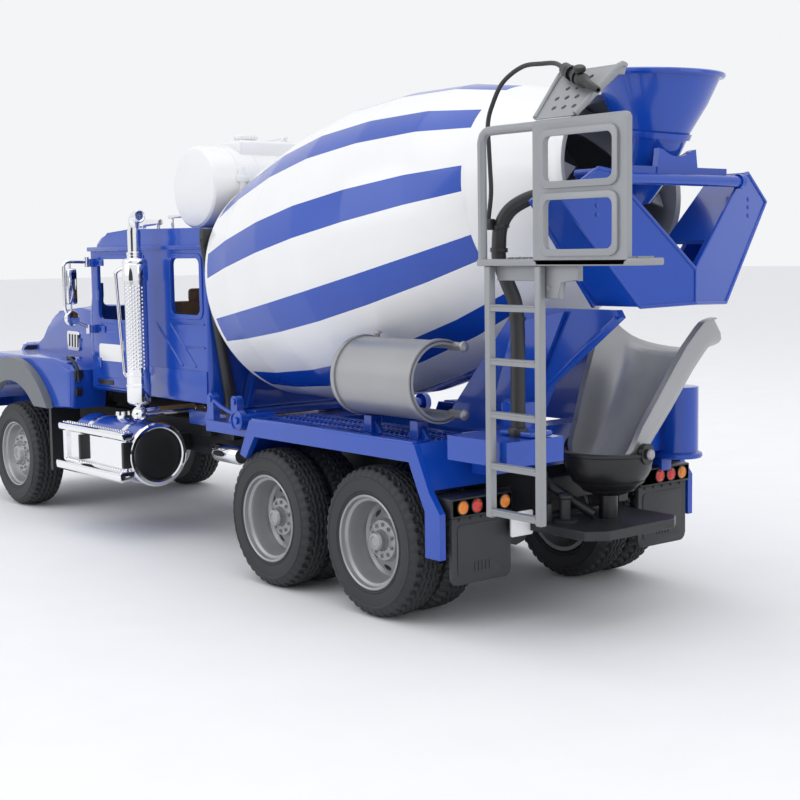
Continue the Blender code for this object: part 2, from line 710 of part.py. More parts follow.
bridge = rod("hopper_bridge", (-33.4, 260.0, 184.5), (33.4, 260.0, 184.5), 2.3, BLUE, sides=12)
saddle = [(-13, 183.0), (-11, 197.0)] + arc((0, 209.5), 15.6, 237, 303, 8) + [(11, 197.0), (13, 183.0)]
join(
    bridge,
    prism("hopper_saddle", saddle, "Y", 253.6, 256.4, cutter=True),
    box("bridge_web", (-12.0, 12.0), (255.0, 259.6), (183.2, 186.6), cutter=True),
    box("bridge_beam", (-31.0, 31.0), (250.4, 256.0), (186.2, 189.8), cutter=True),
)

COLLECTOR_SWEEP = 0.215  # how far the rear faces lean forward for each millimetre outwards


def swept_prism(name, outline, near, far, side, near_sweep=COLLECTOR_SWEEP, paint=None, cutter=True):
    """An outline across one side of the truck, drawn out rearwards to the collector's swept face."""
    bm = bmesh.new()
    front = [bm.verts.new((side * x, near - near_sweep * x, z)) for x, z in outline]
    back = [bm.verts.new((side * x, far - COLLECTOR_SWEEP * x, z)) for x, z in outline]
    bm.faces.new(front)
    bm.faces.new(back[::-1])
    for step in range(len(outline)):
        after = (step + 1) % len(outline)
        bm.faces.new((front[step], back[step], back[after], front[after]))
    bmesh.ops.recalc_face_normals(bm, faces=bm.faces)
    return place(name, mesh_from(bm, name), (0, 0, 0), paint, cutter)


COLLECTOR_FACE = [(-0.6, 149.4), (40.0, 187.6), (45.0, 188.4), (62.0, 176.8), (26.0, 135.2), (-0.6, 136.0)]
COLLECTOR_WING = [(62.0, 176.8), (26.0, 135.2), (24.2, 136.4), (60.0, 178.2)]
COLLECTOR_SLIDE = [(40.6, 188.0), (11.5, 160.8), (13.0, 159.2), (42.2, 186.4)]
collector = swept_prism("collector", COLLECTOR_FACE, 263.1, 265.5, 1, paint=BLUE, cutter=False)
collector_parts = [swept_prism("collector_face_right", COLLECTOR_FACE, 263.1, 265.5, -1)]
for side_name, side in SIDES:
    collector_parts.append(swept_prism("collector_wing_" + side_name, COLLECTOR_WING, 236.0, 264.4, side, 0.0))
    collector_parts.append(swept_prism("collector_slide_" + side_name, COLLECTOR_SLIDE, 240.0, 264.4, side, 0.0))
collector_parts.append(prism(
    "collector_front", [
        (-26.8, 137.8), (26.8, 137.8), (52.2, 167.0), (36.0, 167.0), (20.0, 150.0), (-20.0, 150.0),
        (-36.0, 167.0), (-52.2, 167.0),
    ],
    "Y", 235.0, 237.4, cutter=True,
))
join(collector, *collector_parts)

# ---------------------------------------------------------------- ladder and platform
ladder = box("ladder", (75.2, 78.0), (227.4, 230.6), (55.0, 151.6), GREY)
ladder_parts = [box("ladder_rail_rear", (75.2, 78.0), (254.6, 257.8), (55.0, 151.6), cutter=True)]
for number, rung_z in enumerate((57.0, 75.0, 95.0, 115.5, 136.0)):
    ladder_parts.append(
        box("rung_%d" % number, (75.6, 77.6), (230.0, 255.4), (rung_z - 1.3, rung_z + 1.3), cutter=True)
    )
join(ladder, *ladder_parts)

platform = box("platform", (46.0, 79.0), (224.2, 303.0), (152.0, 154.6), GREY)
frame_panel = box("railing_panel", (75.6, 79.0), (255.0, TRUCK_REAR_Y), (152.2, 204.4), cutter=True)
cut(
    frame_panel,
    box("railing_window_low", (70.0, 85.0), (260.6, 297.4), (157.0, 176.4), cutter=True),
    box("railing_window_high", (70.0, 85.0), (260.6, 297.4), (181.4, 199.2), cutter=True),
)
join(
    platform,
    frame_panel,
    box("hoop_upright", (75.8, 78.8), (224.2, 227.8), (153.0, 204.2), cutter=True),
    box("hoop_top", (75.8, 78.8), (224.2, 257.0), (200.8, 204.2), cutter=True),
    prism(
        "platform_bracket",
        [(254.5, 153.0), (254.5, 140.0), (264.0, 140.0), (264.6, 146.5), (273.8, 146.5), (273.8, 153.0)],
        "X", 72.0, 74.6, cutter=True,
    ),
)
cut(platform, box("platform_notch", (40.0, 62.0), (233.5, 310.0), (140.0, 160.0), cutter=True))

SHELF = [(79.0, 204.8), (76.4, 204.8), (60.4, 219.8), (57.2, 219.8), (57.2, 223.0), (61.0, 223.0)]
prism("spray_shelf", SHELF, "Y", 254.5, 279.0, GREY)

gun = rod("spray_gun", (64.9, 257.5, 223.8), (71.8, 275.5, 216.2), 2.1, BLACK, sides=14)
join(
    gun,
    rod(
        "gun_nozzle", (71.4, 274.5, 216.6), (74.6, 283.5, 213.0), 1.5, cutter=True, sides=12,
        radius_end=1.1,
    ),
    rod("gun_valve", (69.4, 269.5, 218.6), (71.0, 271.0, 222.8), 1.5, cutter=True, sides=12),
)

# ---------------------------------------------------------------- water tank
tank_parts = [
    box("tank_box", (-20.0, 21.0), (-58.0, -30.0), (212.0, 219.0), cutter=True),
    rod("tank_neck", (8.0, -44.0, 218.0), (8.0, -44.0, 220.0), 5.0, cutter=True, sides=16),
]
water_tank = rod("water_tank", (-43.0, *TANK_AXIS), (43.0, *TANK_AXIS), TANK_RADIUS, WHITE, sides=36)
join(water_tank, *tank_parts)
lid = rod("tank_lid", (8.0, -44.0, 220.3), (8.0, -44.0, 222.8), 6.4, WHITE, (8.0, -44.0, 221.0), sides=20)

tank_frame = box("tank_frame", (-56.0, 56.0), (-17.1, -13.0), (162.0, 171.3), DARK)
frame_parts = [box("tank_cradle", (-30.0, 30.0), (-60.0, -14.0), (169.8, 171.4), cutter=True)]
for side_name, side in SIDES:
    low, high = (side * 56.0, -14.9, 168.0), (side * 39.0, -14.9, 72.3)
    frame_parts.append(rod("tank_post_" + side_name, high, low, 2.1, cutter=True, sides=10))
join(tank_frame, *frame_parts)

# ---------------------------------------------------------------- hoses
tube("fill_hose", [
    (50, 240, 179), (56, 232, 178.2), (60.5, 224.5, 174), (62.8, 220.8, 167.5), (63, 219.7, 160),
    (62.6, 219.6, 153.5), (60, 221.3, 145), (57, 222.4, 137), (56, 222.6, 127), (56, 222.6, 108),
    (56, 222.5, 84.4),
], 2.9, BLACK)
tube("spray_hose", [
    (64.6, 256.6, 224.1), (62, 250, 226.6), (61, 242.5, 227.4), (61, 231.4, 227.4), (62, 221.5, 222.4),
    (63, 216.4, 214), (64, 215, 207.2), (65, 216.4, 199.8), (65.3, 217.4, 190), (65.8, 218.4, 180),
    (66.6, 217.5, 169),
], 0.9, BLACK)

# ---------------------------------------------------------------- discharge chute
bowl_outer = [(r, z) for r, z in arc((0.0, 73.0), 19.6, -72, 0, 5)]
bowl_inner = [(r, z) for r, z in arc((0.0, 73.0), 17.4, 0, -76, 5)]
bowl_outline = [(0.0, 53.4)] + bowl_outer + bowl_inner + [(0.0, 55.6)]
bowl = turned("chute_bowl", bowl_outline, (CHUTE_PIVOT.x, CHUTE_PIVOT.y, 0.0), (0, 0, 1), BLACK, steps=22)
outward = Vector((-math.sin(CHUTE_TURN), math.cos(CHUTE_TURN), 0.0))
along_pin = Vector((math.cos(CHUTE_TURN), math.sin(CHUTE_TURN), 0.0))
up_chute = outward * math.cos(CHUTE_SLOPE) + Vector((0, 0, 1)) * math.sin(CHUTE_SLOPE)
open_side = Vector((0, 0, 1)) * math.cos(CHUTE_SLOPE) - outward * math.sin(CHUTE_SLOPE)
bowl_parts = [
    rod(
        "bowl_stem", (CHUTE_PIVOT.x, CHUTE_PIVOT.y, 44.3), (CHUTE_PIVOT.x, CHUTE_PIVOT.y, 54.6),
        4.0, cutter=True, sides=14,
    )
]
for number, end in enumerate((-1, 1)):
    ear = CHUTE_PIVOT + along_pin * end * 18.6
    outer_end = CHUTE_PIVOT + along_pin * end * 19.8
    inner_end = CHUTE_PIVOT + along_pin * end * 17.6
    bowl_parts.append(rod("bowl_ear_%d" % number, inner_end, outer_end, 4.2, cutter=True, sides=16))
join(bowl, *bowl_parts)
bowl_cuts = []
for number, end in enumerate((-1, 1)):
    start = CHUTE_PIVOT + along_pin * end * 15.0
    finish = CHUTE_PIVOT + along_pin * end * 24.0
    bowl_cuts.append(rod("ear_hole_%d" % number, start, finish, 1.9, cutter=True, sides=12))
# The rim is cut away under the chute, so that the chute can be lowered.
rim_notch = []
for reach, aside in ((6.0, -22.0), (26.0, -22.0), (26.0, 22.0), (6.0, 22.0)):
    rim_notch.append((CHUTE_PIVOT + outward * reach + along_pin * aside).xy)
bowl_cuts.append(prism("rim_notch", rim_notch, "Z", 66.0, 80.0, cutter=True))
cut(bowl, *bowl_cuts)


def chute_section(along, half_width, depth, lift):
    """U-shaped ring of points across the chute, outer then inner side."""
    wall = 1.7
    middle = CHUTE_PIVOT + up_chute * along + open_side * lift
    outer = [
        (-half_width, depth * 0.35), (-half_width * 0.86, -depth * 0.3),
        (-half_width * 0.45, -depth * 0.62), (0, -depth * 0.7),
    ]
    outer += [(-x, y) for x, y in outer[-2::-1]]
    inner = [(half_width - wall, depth * 0.35), (half_width * 0.86 - wall * 0.8, -depth * 0.3 + wall * 0.5)]
    inner += [(half_width * 0.45, -depth * 0.62 + wall), (0, -depth * 0.7 + wall)]
    inner += [(-x, y) for x, y in inner[-2::-1]]
    return [middle + along_pin * x + open_side * y for x, y in outer + inner]


CHUTE = [
    (-9.0, 12.5, 11.0, 0.0), (-2.0, 16.0, 15.0, 0.0), (8.0, 16.9, 18.0, 0.0),
    (38.0, 21.8, 23.0, 0.0), (60.0, 26.5, 24.0, 0.0),
]
bm = bmesh.new()
rows = [[bm.verts.new(point) for point in chute_section(*row)] for row in CHUTE]
lip = [point + outward * 6.0 + Vector((0, 0, -0.5)) for point in chute_section(63.0, 28.0, 24.0, 0.0)]
rows.append([bm.verts.new(point) for point in lip])
count = len(rows[0])
for row, following in zip(rows, rows[1:]):
    for step in range(count):
        after = (step + 1) % count
        bm.faces.new((row[step], row[after], following[after], following[step]))
bm.faces.new(rows[0])
bm.faces.new(rows[-1])
bmesh.ops.triangulate(bm, faces=bm.faces)
chute = place("chute", mesh_from(bm, "chute"), CHUTE_PIVOT, SILVER)
pins = []
for number, end in enumerate((-1, 1)):
    start = CHUTE_PIVOT + along_pin * end * 14.9
    finish = CHUTE_PIVOT + along_pin * end * 22.0
    pins.append(rod("chute_pin_%d" % number, start, finish, 1.5, cutter=True, sides=12))
join(chute, *pins)

spare_centre = (62.0, 104.0)
spare = arc(spare_centre, 17.0, 62, 298, 12) + arc(spare_centre, 15.3, 298, 62, 12)
spare_chute = prism(
    "extension_chute", [(spare_centre[0] * 2 - x, z) for x, z in spare], "Y", 129.0, 183.0, SILVER,
)

for made in truck.objects:
    if made.type == "MESH":
        made.data.shade_smooth()
        made.data.set_sharp_from_angle(angle=math.radians(35))
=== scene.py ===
"""Looks of a toy cement mixer truck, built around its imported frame.

Lengths are millimetres unless a name says otherwise; MM turns them into Blender's metres.
X points to the truck's left, Y to its rear, Z up. The ground is Z = 0.
"""

import json
import math

import bmesh
import bpy
from mathutils import Matrix, Vector


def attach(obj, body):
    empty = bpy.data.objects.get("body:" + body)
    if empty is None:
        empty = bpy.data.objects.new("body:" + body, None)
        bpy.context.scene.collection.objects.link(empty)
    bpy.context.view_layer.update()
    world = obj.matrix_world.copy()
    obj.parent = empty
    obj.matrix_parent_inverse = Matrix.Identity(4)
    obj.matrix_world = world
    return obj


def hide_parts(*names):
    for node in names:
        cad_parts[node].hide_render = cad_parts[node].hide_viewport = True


MM = 0.001

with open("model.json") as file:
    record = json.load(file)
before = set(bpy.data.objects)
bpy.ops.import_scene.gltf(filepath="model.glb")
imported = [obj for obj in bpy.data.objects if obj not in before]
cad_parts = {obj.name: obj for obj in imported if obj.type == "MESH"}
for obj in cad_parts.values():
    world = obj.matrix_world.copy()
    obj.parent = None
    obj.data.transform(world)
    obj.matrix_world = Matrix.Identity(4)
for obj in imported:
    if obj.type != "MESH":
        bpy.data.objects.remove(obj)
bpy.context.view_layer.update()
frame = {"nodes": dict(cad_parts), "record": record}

SIDES = (("left", 1), ("right", -1))
FRONT_AXLE_Y = -230.0
REAR_AXLES_Y = (72.0, 150.0)
AXLE_Z = 33.0
ARCH_CENTRE = (FRONT_AXLE_Y, 35.0)
COWL_Y = -154.0
HOOD_TAPER = 0.0029  # share of its width that the hood loses for each millimetre ahead of the cowl
COLLECTOR_REAR_Y = 265.5
COLLECTOR_SWEEP = 0.215  # how far forward the rear face goes for each millimetre off the centre plane
CORNER_POST = (-60.0, 206.0)
SKY_STRENGTH = 0.93
TREAD_RIB = 7.2
DRUM_TILT = math.radians(11.2)
DRUM_AXIS = Vector((0.0, math.cos(DRUM_TILT), math.sin(DRUM_TILT)))
DRUM_FRONT = Vector((0.0, -6.0, 140.5))
CHUTE_PIVOT = Vector((2.0, 221.0, 73.0))
CHUTE_TURN = math.radians(97.0)
CHUTE_SLOPE = math.radians(53.0)


# ---------------------------------------------------------------- materials
def surface(name, colour, roughness, metallic=0.0, grain=1400.0, bump=0.12, mottle=0.04, uneven=0.06,
            coat=0.0, specular=0.5, depth=0.00002):
    """Moulded plastic or metal: faint colour mottling, uneven gloss and a fine grain."""
    made = bpy.data.materials.new(name)
    made.use_nodes = True
    nodes = made.node_tree.nodes
    link = made.node_tree.links.new
    shader = nodes["Principled BSDF"]
    shader.inputs["Metallic"].default_value = metallic
    shader.inputs["Specular IOR Level"].default_value = specular
    shader.inputs["Coat Weight"].default_value = coat
    shader.inputs["Coat Roughness"].default_value = 0.04
    spot = nodes.new("ShaderNodeTexCoord").outputs["Object"]

    broad = nodes.new("ShaderNodeTexNoise")
    broad.inputs["Scale"].default_value = 28.0
    broad.inputs["Detail"].default_value = 4.0
    link(spot, broad.inputs["Vector"])
    tint = nodes.new("ShaderNodeValToRGB")
    tint.color_ramp.elements[0].position = 0.3
    tint.color_ramp.elements[1].position = 0.7
    tint.color_ramp.elements[0].color = (*[c * (1 - mottle) for c in colour], 1.0)
    tint.color_ramp.elements[1].color = (*[min(1.0, c * (1 + mottle)) for c in colour], 1.0)
    link(broad.outputs["Fac"], tint.inputs["Fac"])
    link(tint.outputs["Color"], shader.inputs["Base Color"])

    gloss = nodes.new("ShaderNodeMapRange")
    gloss.inputs["To Min"].default_value = max(0.02, roughness - uneven / 2)
    gloss.inputs["To Max"].default_value = roughness + uneven / 2
    link(broad.outputs["Fac"], gloss.inputs["Value"])
    link(gloss.outputs["Result"], shader.inputs["Roughness"])

    fine = nodes.new("ShaderNodeTexNoise")
    fine.inputs["Scale"].default_value = grain
    fine.inputs["Detail"].default_value = 3.0
    link(spot, fine.inputs["Vector"])
    relief = nodes.new("ShaderNodeBump")
    relief.inputs["Strength"].default_value = bump
    relief.inputs["Distance"].default_value = depth
    link(fine.outputs["Fac"], relief.inputs["Height"])
    link(relief.outputs["Normal"], shader.inputs["Normal"])
    return made


BLUE = surface("gloss_blue", (0.006, 0.062, 0.43), 0.2, bump=0.05, coat=0.35)
WHITE = surface("gloss_white", (0.84, 0.845, 0.85), 0.2, bump=0.04, mottle=0.015, coat=0.3)
SILVER = surface("silver_plastic", (0.36, 0.365, 0.375), 0.34, 0.55, grain=3800.0, bump=0.3)
GREY = surface("ladder_grey", (0.3, 0.31, 0.325), 0.36, 0.25, grain=2600.0, bump=0.16)
FLARE = surface("flare_grey", (0.155, 0.165, 0.18), 0.5, bump=0.2)
# painted shade: the drum's inside walls and its mixing blades get this mid grey instead of the shell's white,
# standing for the shade inside the drum
PAINTED_SHADE_GREY = surface("drum_inside_painted_shade", (0.36, 0.37, 0.38), 0.45, bump=0.12)
DARK = surface("chassis_grey", (0.022, 0.023, 0.025), 0.42, bump=0.3)
BLACK = surface("black_plastic", (0.012, 0.012, 0.013), 0.34, bump=0.2)
FLAP = surface("flap_rubber", (0.035, 0.036, 0.04), 0.55, bump=0.45, grain=2200.0)
RUBBER = surface("tyre_rubber", (0.026, 0.027, 0.03), 0.62, bump=0.6, grain=1800.0, mottle=0.14,
    depth=0.00004)
HOSE = surface("hose_rubber", (0.022, 0.022, 0.024), 0.42, bump=0.25, grain=2500.0)
CHROME = surface("chrome", (0.88, 0.885, 0.9), 0.07, 1.0, grain=300.0, bump=0.03, mottle=0.02, uneven=0.04)
TAN = surface("tan_interior", (0.33, 0.19, 0.09), 0.6, bump=0.5, grain=1500.0, mottle=0.1)
AMBER = surface("amber_lens", (0.85, 0.25, 0.015), 0.16, bump=0.3, grain=700.0, coat=0.5)
RED = surface("red_lens", (0.72, 0.035, 0.02), 0.16, bump=0.3, grain=700.0, coat=0.5)
CLEAR = surface("headlamp_lens", (0.75, 0.78, 0.8), 0.1, 0.3, bump=0.3, grain=500.0, coat=0.6)
MIRROR = surface("mirror_face", (0.82, 0.84, 0.86), 0.04, 1.0, bump=0.01, mottle=0.01, uneven=0.01)


# ---------------------------------------------------------------- shape helpers
class Form:
    """Closed shapes in millimetres that together become one piece."""

    def __init__(self):
        self.bm = bmesh.new()
        self.paint = 0

    def added(self, before):
        for face in list(self.bm.faces)[before:]:
            face.material_index = self.paint

    def box(self, x, y, z, round_by=0.0, segments=2):
        before = len(self.bm.faces)
        size = (x[1] - x[0], y[1] - y[0], z[1] - z[0])
        middle = Vector((sum(x) / 2, sum(y) / 2, sum(z) / 2))
        made = bmesh.ops.create_cube(self.bm, size=1.0,
            matrix=Matrix.Translation(middle) @ Matrix.Diagonal((*size, 1)))
        if round_by:
            edges = {edge for vert in made["verts"] for edge in vert.link_edges}
            bmesh.ops.bevel(self.bm, geom=list(edges), offset=round_by, segments=segments, profile=0.5,
                            affect="EDGES", clamp_overlap=True)
        self.added(before)
        return self

    def prism(self, outline, axis, low, high, round_by=0.0, segments=2):
        before = len(self.bm.faces)
        index = "XYZ".index(axis)
        loops = []
        for along in (low, high):
            points = [list(point) for point in outline]
            for point in points:
                point.insert(index, along)
            loops.append([self.bm.verts.new(point) for point in points])
        near, far = loops
        made = [self.bm.faces.new(near[::-1]), self.bm.faces.new(far)]
        for step in range(len(outline)):
            after = (step + 1) % len(outline)
            made.append(self.bm.faces.new((near[step], near[after], far[after], far[step])))
        if round_by:
            rims = [edge for edge in made[0].edges] + [edge for edge in made[1].edges]
            bmesh.ops.bevel(self.bm, geom=rims, offset=round_by, segments=segments, profile=0.5,
                            affect="EDGES", clamp_overlap=True)
        self.added(before)
        return self

    def rod(self, start, end, radius, sides=24, radius_end=None):
        before = len(self.bm.faces)
        start, end = Vector(start), Vector(end)
        turn = (end - start).to_track_quat("Z", "Y").to_matrix().to_4x4()
        bmesh.ops.create_cone(self.bm, cap_ends=True, segments=sides, radius1=radius,
                              radius2=radius if radius_end is None else radius_end,
                              depth=(end - start).length, matrix=Matrix.Translation((start + end) / 2) @ turn)
        self.added(before)
        return self

    def lathe(self, outline, centre=(0, 0, 0), direction=(0, 0, 1), steps=64, angles=None, paint=None):
        """Turn a closed (radius, along) outline; paint(i, j) may choose each face's material."""
        before = len(self.bm.faces)
        angles = angles or [2 * math.pi * step / steps for step in range(steps)]
        up = Vector(direction).normalized()
        side = up.orthogonal().normalized() if abs(up.x) > 0.5 else Vector((1, 0, 0))
        side = (side - up * side.dot(up)).normalized()
        front = side.cross(up)
        rows = []
        for radius, along in outline:
            middle = Vector(centre) + up * along
            if radius < 1e-6:
                rows.append([self.bm.verts.new(middle)] * len(angles))
            else:
                rows.append([
                    self.bm.verts.new(middle + (side * math.cos(angle) + front * math.sin(angle)) * radius)
                    for angle in angles
                ])
        for i, row in enumerate(rows):
            following = rows[(i + 1) % len(rows)]
            for j in range(len(angles)):
                k = (j + 1) % len(angles)
                corners = []
                for vert in (row[j], row[k], following[k], following[j]):
                    if vert not in corners:
                        corners.append(vert)
                if len(corners) > 2:
                    face = self.bm.faces.new(corners)
                    face.material_index = self.paint if paint is None else paint(i, j)
        if paint is None:
            self.added(before)
        return self

    def tube(self, points, radius, sides=14, pitch=1.5):
        before = len(self.bm.faces)
        route = smooth_route(points, pitch)
        normal = (route[1] - route[0]).orthogonal().normalized()
        rows = []
        for step, point in enumerate(route):
            ahead = (route[min(step + 1, len(route) - 1)] - route[max(step - 1, 0)]).normalized()
            normal = (normal - ahead * normal.dot(ahead)).normalized()
            other = ahead.cross(normal)
            rows.append([
                self.bm.verts.new(point + (normal * math.cos(turn) + other * math.sin(turn)) * radius)
                for turn in (2 * math.pi * side / sides for side in range(sides))
            ])
        self.skin(rows)
        self.added(before)
        return self

    def skin(self, rows, ring=True):
        """Faces between rows of points, with both ends capped."""
        count = len(rows[0])
        for row, following in zip(rows, rows[1:]):
            for step in range(count if ring else count - 1):
                after = (step + 1) % count
                self.bm.faces.new((row[step], row[after], following[after], following[step]))
        self.bm.faces.new(rows[0][::-1])
        self.bm.faces.new(rows[-1])

    def loft(self, rings, closed=False):
        """A shell through rings of points; closed joins the last ring to the first."""
        before = len(self.bm.faces)
        rows = [[self.bm.verts.new(point) for point in ring] for ring in rings]
        if closed:
            count = len(rows[0])
            for row, following in zip(rows, rows[1:] + rows[:1]):
                for step in range(count):
                    after = (step + 1) % count
                    self.bm.faces.new((row[step], row[after], following[after], following[step]))
        else:
            self.skin(rows)
        self.added(before)
        return self

    def dome(self, centre, direction, radius, height, sides=14, rings=3):
        outline = [(0, -0.3), (radius, -0.3)]
        for step in range(rings + 1):
            angle = math.pi / 2 * step / rings
            outline.append((radius * math.cos(angle), height * math.sin(angle)))
        outline[-1] = (0, height)
        return self.lathe(outline, centre, direction, sides)

    def bolt(self, centre, direction, radius, height):
        """A hexagonal head with a small round washer."""
        direction = Vector(direction).normalized()
        centre = Vector(centre)
        self.rod(centre - direction * 0.3, centre + direction * height * 0.35, radius * 1.35, 16)
        return self.rod(centre, centre + direction * height, radius, 6, radius * 0.92)

    def boolean(self, other, operation="DIFFERENCE"):
        """Cut or join another form, leaving one clean body."""
        scratch = []
        for form in (self, other):
            bmesh.ops.recalc_face_normals(form.bm, faces=form.bm.faces)
            mesh = bpy.data.meshes.new("scratch")
            form.bm.to_mesh(mesh)
            scratch.append(bpy.data.objects.new("scratch", mesh))
            bpy.context.scene.collection.objects.link(scratch[-1])
        step = scratch[0].modifiers.new("cut", "BOOLEAN")
        step.operation = operation
        step.object = scratch[1]
        shape = scratch[0].evaluated_get(bpy.context.evaluated_depsgraph_get())
        self.bm.free()
        self.bm = bmesh.new()
        self.bm.from_mesh(shape.to_mesh())
        for thing in scratch:
            bpy.data.objects.remove(thing, do_unlink=True)
        return self

    def done(self, name, body, slot, materials, replaced=(), bevel=0.0, segments=2, angle=34.0, place=None):
        """Make the object, ride it on its body and hide the CAD nodes it replaces."""
        bmesh.ops.recalc_face_normals(self.bm, faces=self.bm.faces)
        mesh = bpy.data.meshes.new(name)
        self.bm.to_mesh(mesh)
        self.bm.free()
        mesh.transform(Matrix.Scale(MM, 4))
        return finish_piece(name, mesh, body, materials, replaced, bevel, segments, angle, place)


def finish_piece(name, mesh, body, materials, replaced=(), bevel=0.0, segments=2, angle=34.0,
    place=None):
    if not isinstance(materials, (list, tuple)):
        materials = [materials]
    if len(mesh.materials):
        mesh.materials.clear()
    for material in materials:
        mesh.materials.append(material)
    mesh.shade_smooth()
    mesh.set_sharp_from_angle(angle=math.radians(angle))
    made = bpy.data.objects.new(name, mesh)
    bpy.context.scene.collection.objects.link(made)
    if place is not None:
        made.matrix_world = place
    if bevel:
        step = made.modifiers.new("edges", "BEVEL")
        step.width = bevel * MM
        step.segments = segments
        step.limit_method = "ANGLE"
        step.angle_limit = math.radians(34.0)
        step.use_clamp_overlap = True
    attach(made, body)
    if replaced:
        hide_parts(*replaced)
    return made


def smooth_route(points, pitch):
    """Catmull-Rom points about `pitch` apart through the route's own points."""
    route = [Vector(point) for point in points]
    padded = [2 * route[0] - route[1]] + route + [2 * route[-1] - route[-2]]
    smooth = []
    for before, start, end, after in zip(padded, padded[1:], padded[2:], padded[3:]):
        count = max(2, round((end - start).length / pitch))
        for step in range(count):
            t = step / count
            smooth.append(0.5 * (
                2 * start + (end - before) * t + (2 * before - 5 * start + 4 * end - after) * t * t
                + (3 * start - 3 * end + after - before) * t * t * t
            ))
    smooth.append(route[-1])
    return smooth


def arc(centre, radius, start, end, count):
    points = []
    for step in range(count + 1):
        angle = math.radians(start + (end - start) * step / count)
        points.append((centre[0] + radius * math.cos(angle), centre[1] + radius * math.sin(angle)))
    return points


def rounded_rectangle(u, v, radius, count=5):
    """A flat outline with four round corners."""
    corners = ((u[1], v[1], 0), (u[0], v[1], 90), (u[0], v[0], 180), (u[1], v[0], 270))
    outline = []
    for cu, cv, start in corners:
        du = -radius if cu == u[1] else radius
        dv = -radius if cv == v[1] else radius
        outline += arc((cu + du, cv + dv), radius, start, start + 90, count)
    return outline


def mirrored(x, side):
    return (x[0], x[1]) if side > 0 else (-x[1], -x[0])


NODE_BODY = {node: body for body, nodes in frame["record"]["behaviour"]["bodies"].items() for node in nodes}


def soften(node, materials, width, segments=2, name=None):
    """The CAD node's own shape with its edges rounded, in place of the sharp one."""
    mesh = frame["nodes"][node].data.copy()
    if "custom_normal" in mesh.attributes:
        mesh.attributes.remove(mesh.attributes["custom_normal"])
    bm = bmesh.new()
    bm.from_mesh(mesh)
    bmesh.ops.remove_doubles(bm, verts=bm.verts, dist=1e-6)
    bmesh.ops.dissolve_limit(bm, angle_limit=math.radians(1.5), verts=bm.verts, edges=bm.edges)
    bm.to_mesh(mesh)
    bm.free()
    return finish_piece(name or node + "_body", mesh, NODE_BODY[node], materials, (node,), width,
        segments)


# ---------------------------------------------------------------- camera, light and floor
def camera():
    """Camera at the truck's left rear, a little above the ladder's platform."""
    yaw, pitch, roll = -2.24973558, -0.102721759, -0.0147429624
    ahead = Vector((math.cos(yaw) * math.cos(pitch), math.sin(yaw) * math.cos(pitch), math.sin(pitch)))
    right = Vector((math.sin(yaw), -math.cos(yaw), 0.0))
    up = right.cross(ahead)
    rolled_right = math.cos(roll) * right + math.sin(roll) * up
    rolled_up = -math.sin(roll) * right + math.cos(roll) * up
    data = bpy.data.cameras.new("camera")
    data.lens = 64.88
    data.sensor_width = 36.0
    data.clip_start = 0.01
    made = bpy.data.objects.new("camera", data)
    basis = Matrix((rolled_right, rolled_up, -ahead)).transposed().to_4x4()
    made.matrix_world = Matrix.Translation((0.450469, 0.636751, 0.158063)) @ basis
    bpy.context.scene.collection.objects.link(made)
    bpy.context.scene.camera = made


def area_light(name, place, target, size, power, colour=(1.0, 1.0, 1.0)):
    data = bpy.data.lights.new(name, "AREA")
    data.shape = "RECTANGLE"
    data.size, data.size_y = size
    data.energy = power
    data.color = colour
    made = bpy.data.objects.new(name, data)
    made.location = place
    made.rotation_euler = (Vector(target) - Vector(place)).to_track_quat("-Z", "Y").to_euler()
    bpy.context.scene.collection.objects.link(made)


def studio():
    world = bpy.data.worlds.new("studio")
    world.use_nodes = True
    back = world.node_tree.nodes["Background"]
    nodes, links = world.node_tree.nodes, world.node_tree.links
    way = nodes.new("ShaderNodeTexCoord")
    toward = nodes.new("ShaderNodeVectorMath")
    toward.operation = "DOT_PRODUCT"
    toward.inputs[1].default_value = (0.94, 0.34, 0.0)
    links.new(way.outputs["Generated"], toward.inputs[0])
    band = nodes.new("ShaderNodeValToRGB")
    band.color_ramp.elements[0].position = 0.93
    band.color_ramp.elements[0].color = (0.97, 0.98, 1.0, 1.0)
    band.color_ramp.elements[1].position = 0.95
    band.color_ramp.elements[1].color = (0.05, 0.055, 0.06, 1.0)
    links.new(toward.outputs["Value"], band.inputs["Fac"])
    links.new(band.outputs["Color"], back.inputs["Color"])
    back.inputs["Strength"].default_value = SKY_STRENGTH
    bpy.context.scene.world = world
    bpy.context.scene.view_settings.view_transform = "Standard"
    area_light("softbox_top", (0.25, 0.1, 1.25), (0.0, 0.0, 0.1), (1.4, 1.8), 5.0)
    area_light("softbox_left", (1.3, -0.55, 0.75), (0.0, 0.0, 0.1), (1.0, 0.9), 2.8)
    area_light("softbox_rear", (-0.25, 1.5, 0.8), (0.0, 0.1, 0.12), (1.0, 0.8), 1.8)
    bm = bmesh.new()
    bmesh.ops.create_grid(bm, x_segments=1, y_segments=1, size=9.0)
    mesh = bpy.data.meshes.new("floor")
    bm.to_mesh(mesh)
    bm.free()
    floor = bpy.data.objects.new("floor", mesh)
    mesh.materials.append(surface("floor_paper", (0.86, 0.865, 0.88), 0.8, bump=0.05, mottle=0.01,
        specular=0.1))
    bpy.context.scene.collection.objects.link(floor)


# ---------------------------------------------------------------- drum
STRIPES = 11
STRIPE_WIDTH = math.radians(12.4)
STRIPE_CENTRE = math.radians(10.6)


